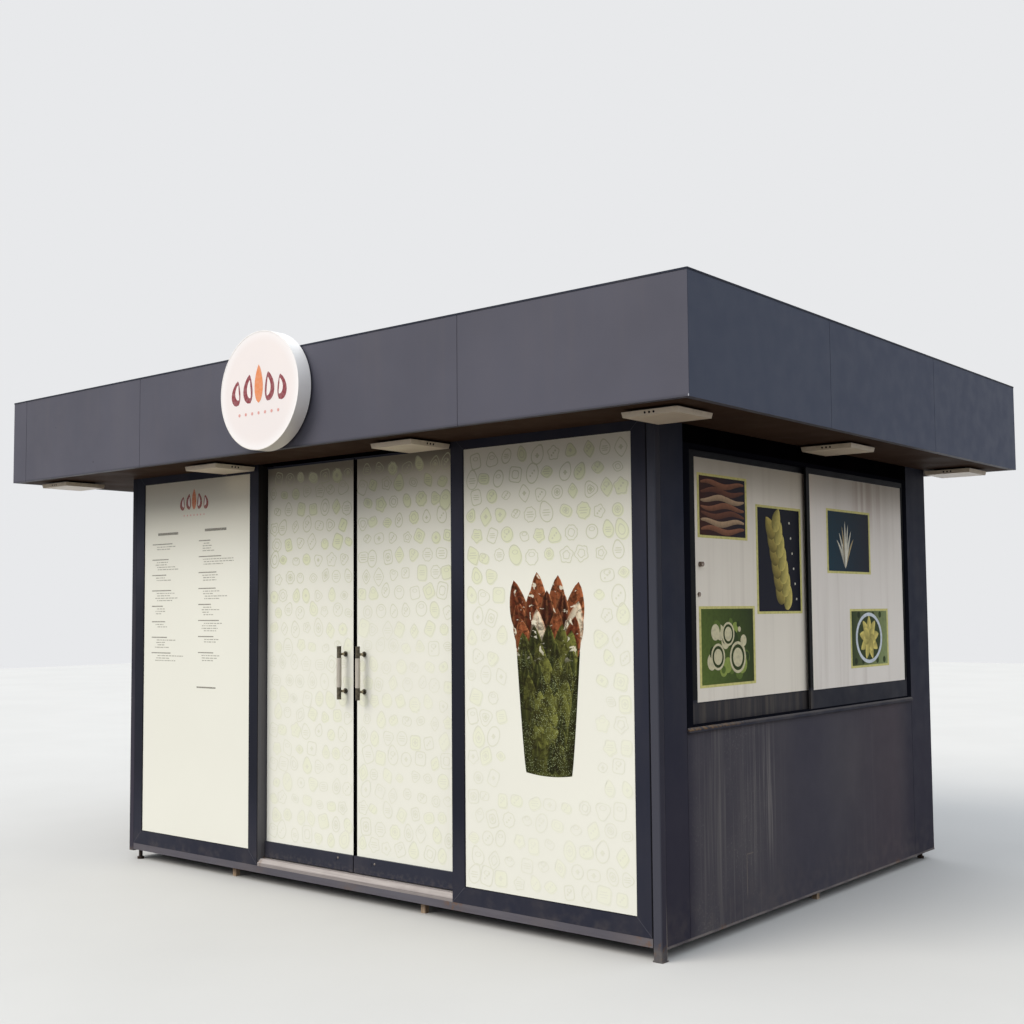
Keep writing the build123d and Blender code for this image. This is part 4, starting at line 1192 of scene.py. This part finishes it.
def light_scene(scene, stage):
    """A sky that is dim at the horizon and bright above, seen as plain pale grey, and one soft sun."""
    scene.world = bpy.data.worlds.new("sky")
    scene.world.use_nodes = True
    sky = Nodes(scene.world.node_tree)
    lit = sky.tree.nodes["Background"]
    up = sky.node("ShaderNodeSeparateXYZ", sky.node("ShaderNodeTexCoord").outputs["Generated"]).outputs["Z"]
    sky.feed(lit.inputs["Color"], (0.89, 0.94, 1.01))
    sky.feed(lit.inputs["Strength"], sky.ramp(up, 0, 0.55, 0.3 * stage.sky, 1.3 * stage.sky))
    plain = sky.node("ShaderNodeBackground", tone(232, 233, 235))
    choose = sky.node("ShaderNodeMixShader", sky.seen(), lit.outputs[0], plain.outputs[0])
    sky.feed(sky.tree.nodes["World Output"].inputs["Surface"], choose.outputs[0])

    lamp = bpy.data.lights.new("main_light", "SUN")
    lamp.energy, lamp.angle, lamp.color = stage.sun, math.radians(40), (1, 0.94, 0.85)
    sun = bpy.data.objects.new("main_light", lamp)
    sun.rotation_euler = Vector((-0.3, -0.7, 0.65)).to_track_quat("Z", "Y").to_euler()
    scene.collection.objects.link(sun)


def place_camera(scene, stage):
    """The camera as it was fitted to the photo, by its yaw, pitch and roll."""
    yaw, pitch, roll = (math.radians(angle) for angle in (-39.674, 3.722, -0.452))
    ahead = Vector((math.sin(yaw) * math.cos(pitch), math.cos(yaw) * math.cos(pitch), math.sin(pitch)))
    right = Vector((math.cos(yaw), -math.sin(yaw), 0))
    up = right.cross(ahead)
    level, rise = right * math.cos(roll) + up * math.sin(roll), up * math.cos(roll) - right * math.sin(roll)
    eye = bpy.data.objects.new("camera", bpy.data.cameras.new("camera"))
    eye.data.lens, eye.data.sensor_width, eye.data.clip_end = stage.lens, 36, 200
    eye.data.shift_y = 12.74 / 1024  # the photo is slightly cropped
    eye.matrix_world = Matrix.Translation(stage.eye) @ Matrix((level, rise, -ahead)).transposed().to_4x4()
    scene.collection.objects.link(eye)
    scene.camera = eye


class KIOSK_OT_set_stage(bpy.types.Operator):
    """Sets the pale floor, the soft light and the camera"""

    bl_idname = "kiosk.set_stage"
    bl_label = "Set Stage"

    def execute(self, context):
        scene = context.scene
        stage = scene.kiosk_stage
        scene.view_settings.view_transform = "Standard"
        lay_floor(scene, stage)
        light_scene(scene, stage)
        place_camera(scene, stage)
        return {"FINISHED"}


OPERATORS = (
    KIOSK_OT_set_stage,
    KIOSK_OT_paint_walls,
    KIOSK_OT_paint_roof,
    KIOSK_OT_paint_front,
    KIOSK_OT_paint_base,
    KIOSK_OT_finish_fittings,
    KIOSK_OT_lay_films,
    KIOSK_OT_print_marks,
    KIOSK_OT_print_sheaf,
    KIOSK_OT_print_notice,
    KIOSK_OT_print_cards,
    KIOSK_OT_print_sign,
    KIOSK_OT_add_seals,
    KIOSK_OT_add_locks,
)
SETTINGS = (("kiosk_paints", KioskPaints), ("kiosk_films", KioskFilms), ("kiosk_stage", KioskStage))


class KIOSK_PT_panel(bpy.types.Panel):
    """Lists the steps and their settings"""

    bl_idname = "KIOSK_PT_panel"
    bl_label = "Street Kiosk"
    bl_space_type = "VIEW_3D"
    bl_region_type = "UI"
    bl_category = "Kiosk"

    def draw(self, context):
        layout = self.layout
        for name, group in SETTINGS:
            for setting in group.__annotations__:
                layout.prop(getattr(context.scene, name), setting)
        for operator in OPERATORS:
            layout.operator(operator.bl_idname)


CLASSES = (*(group for _, group in SETTINGS), *OPERATORS, KIOSK_PT_panel)


def register():
    for each in CLASSES:
        bpy.utils.register_class(each)
    for name, group in SETTINGS:
        setattr(bpy.types.Scene, name, bpy.props.PointerProperty(type=group))


def unregister():
    for name, _ in SETTINGS:
        delattr(bpy.types.Scene, name)
    for each in reversed(CLASSES):
        bpy.utils.unregister_class(each)


def main():
    register()
    for operator in OPERATORS:
        group, name = operator.bl_idname.split(".")
        getattr(getattr(bpy.ops, group), name)()
    bpy.context.view_layer.update()


if __name__ == "__main__":
    main()
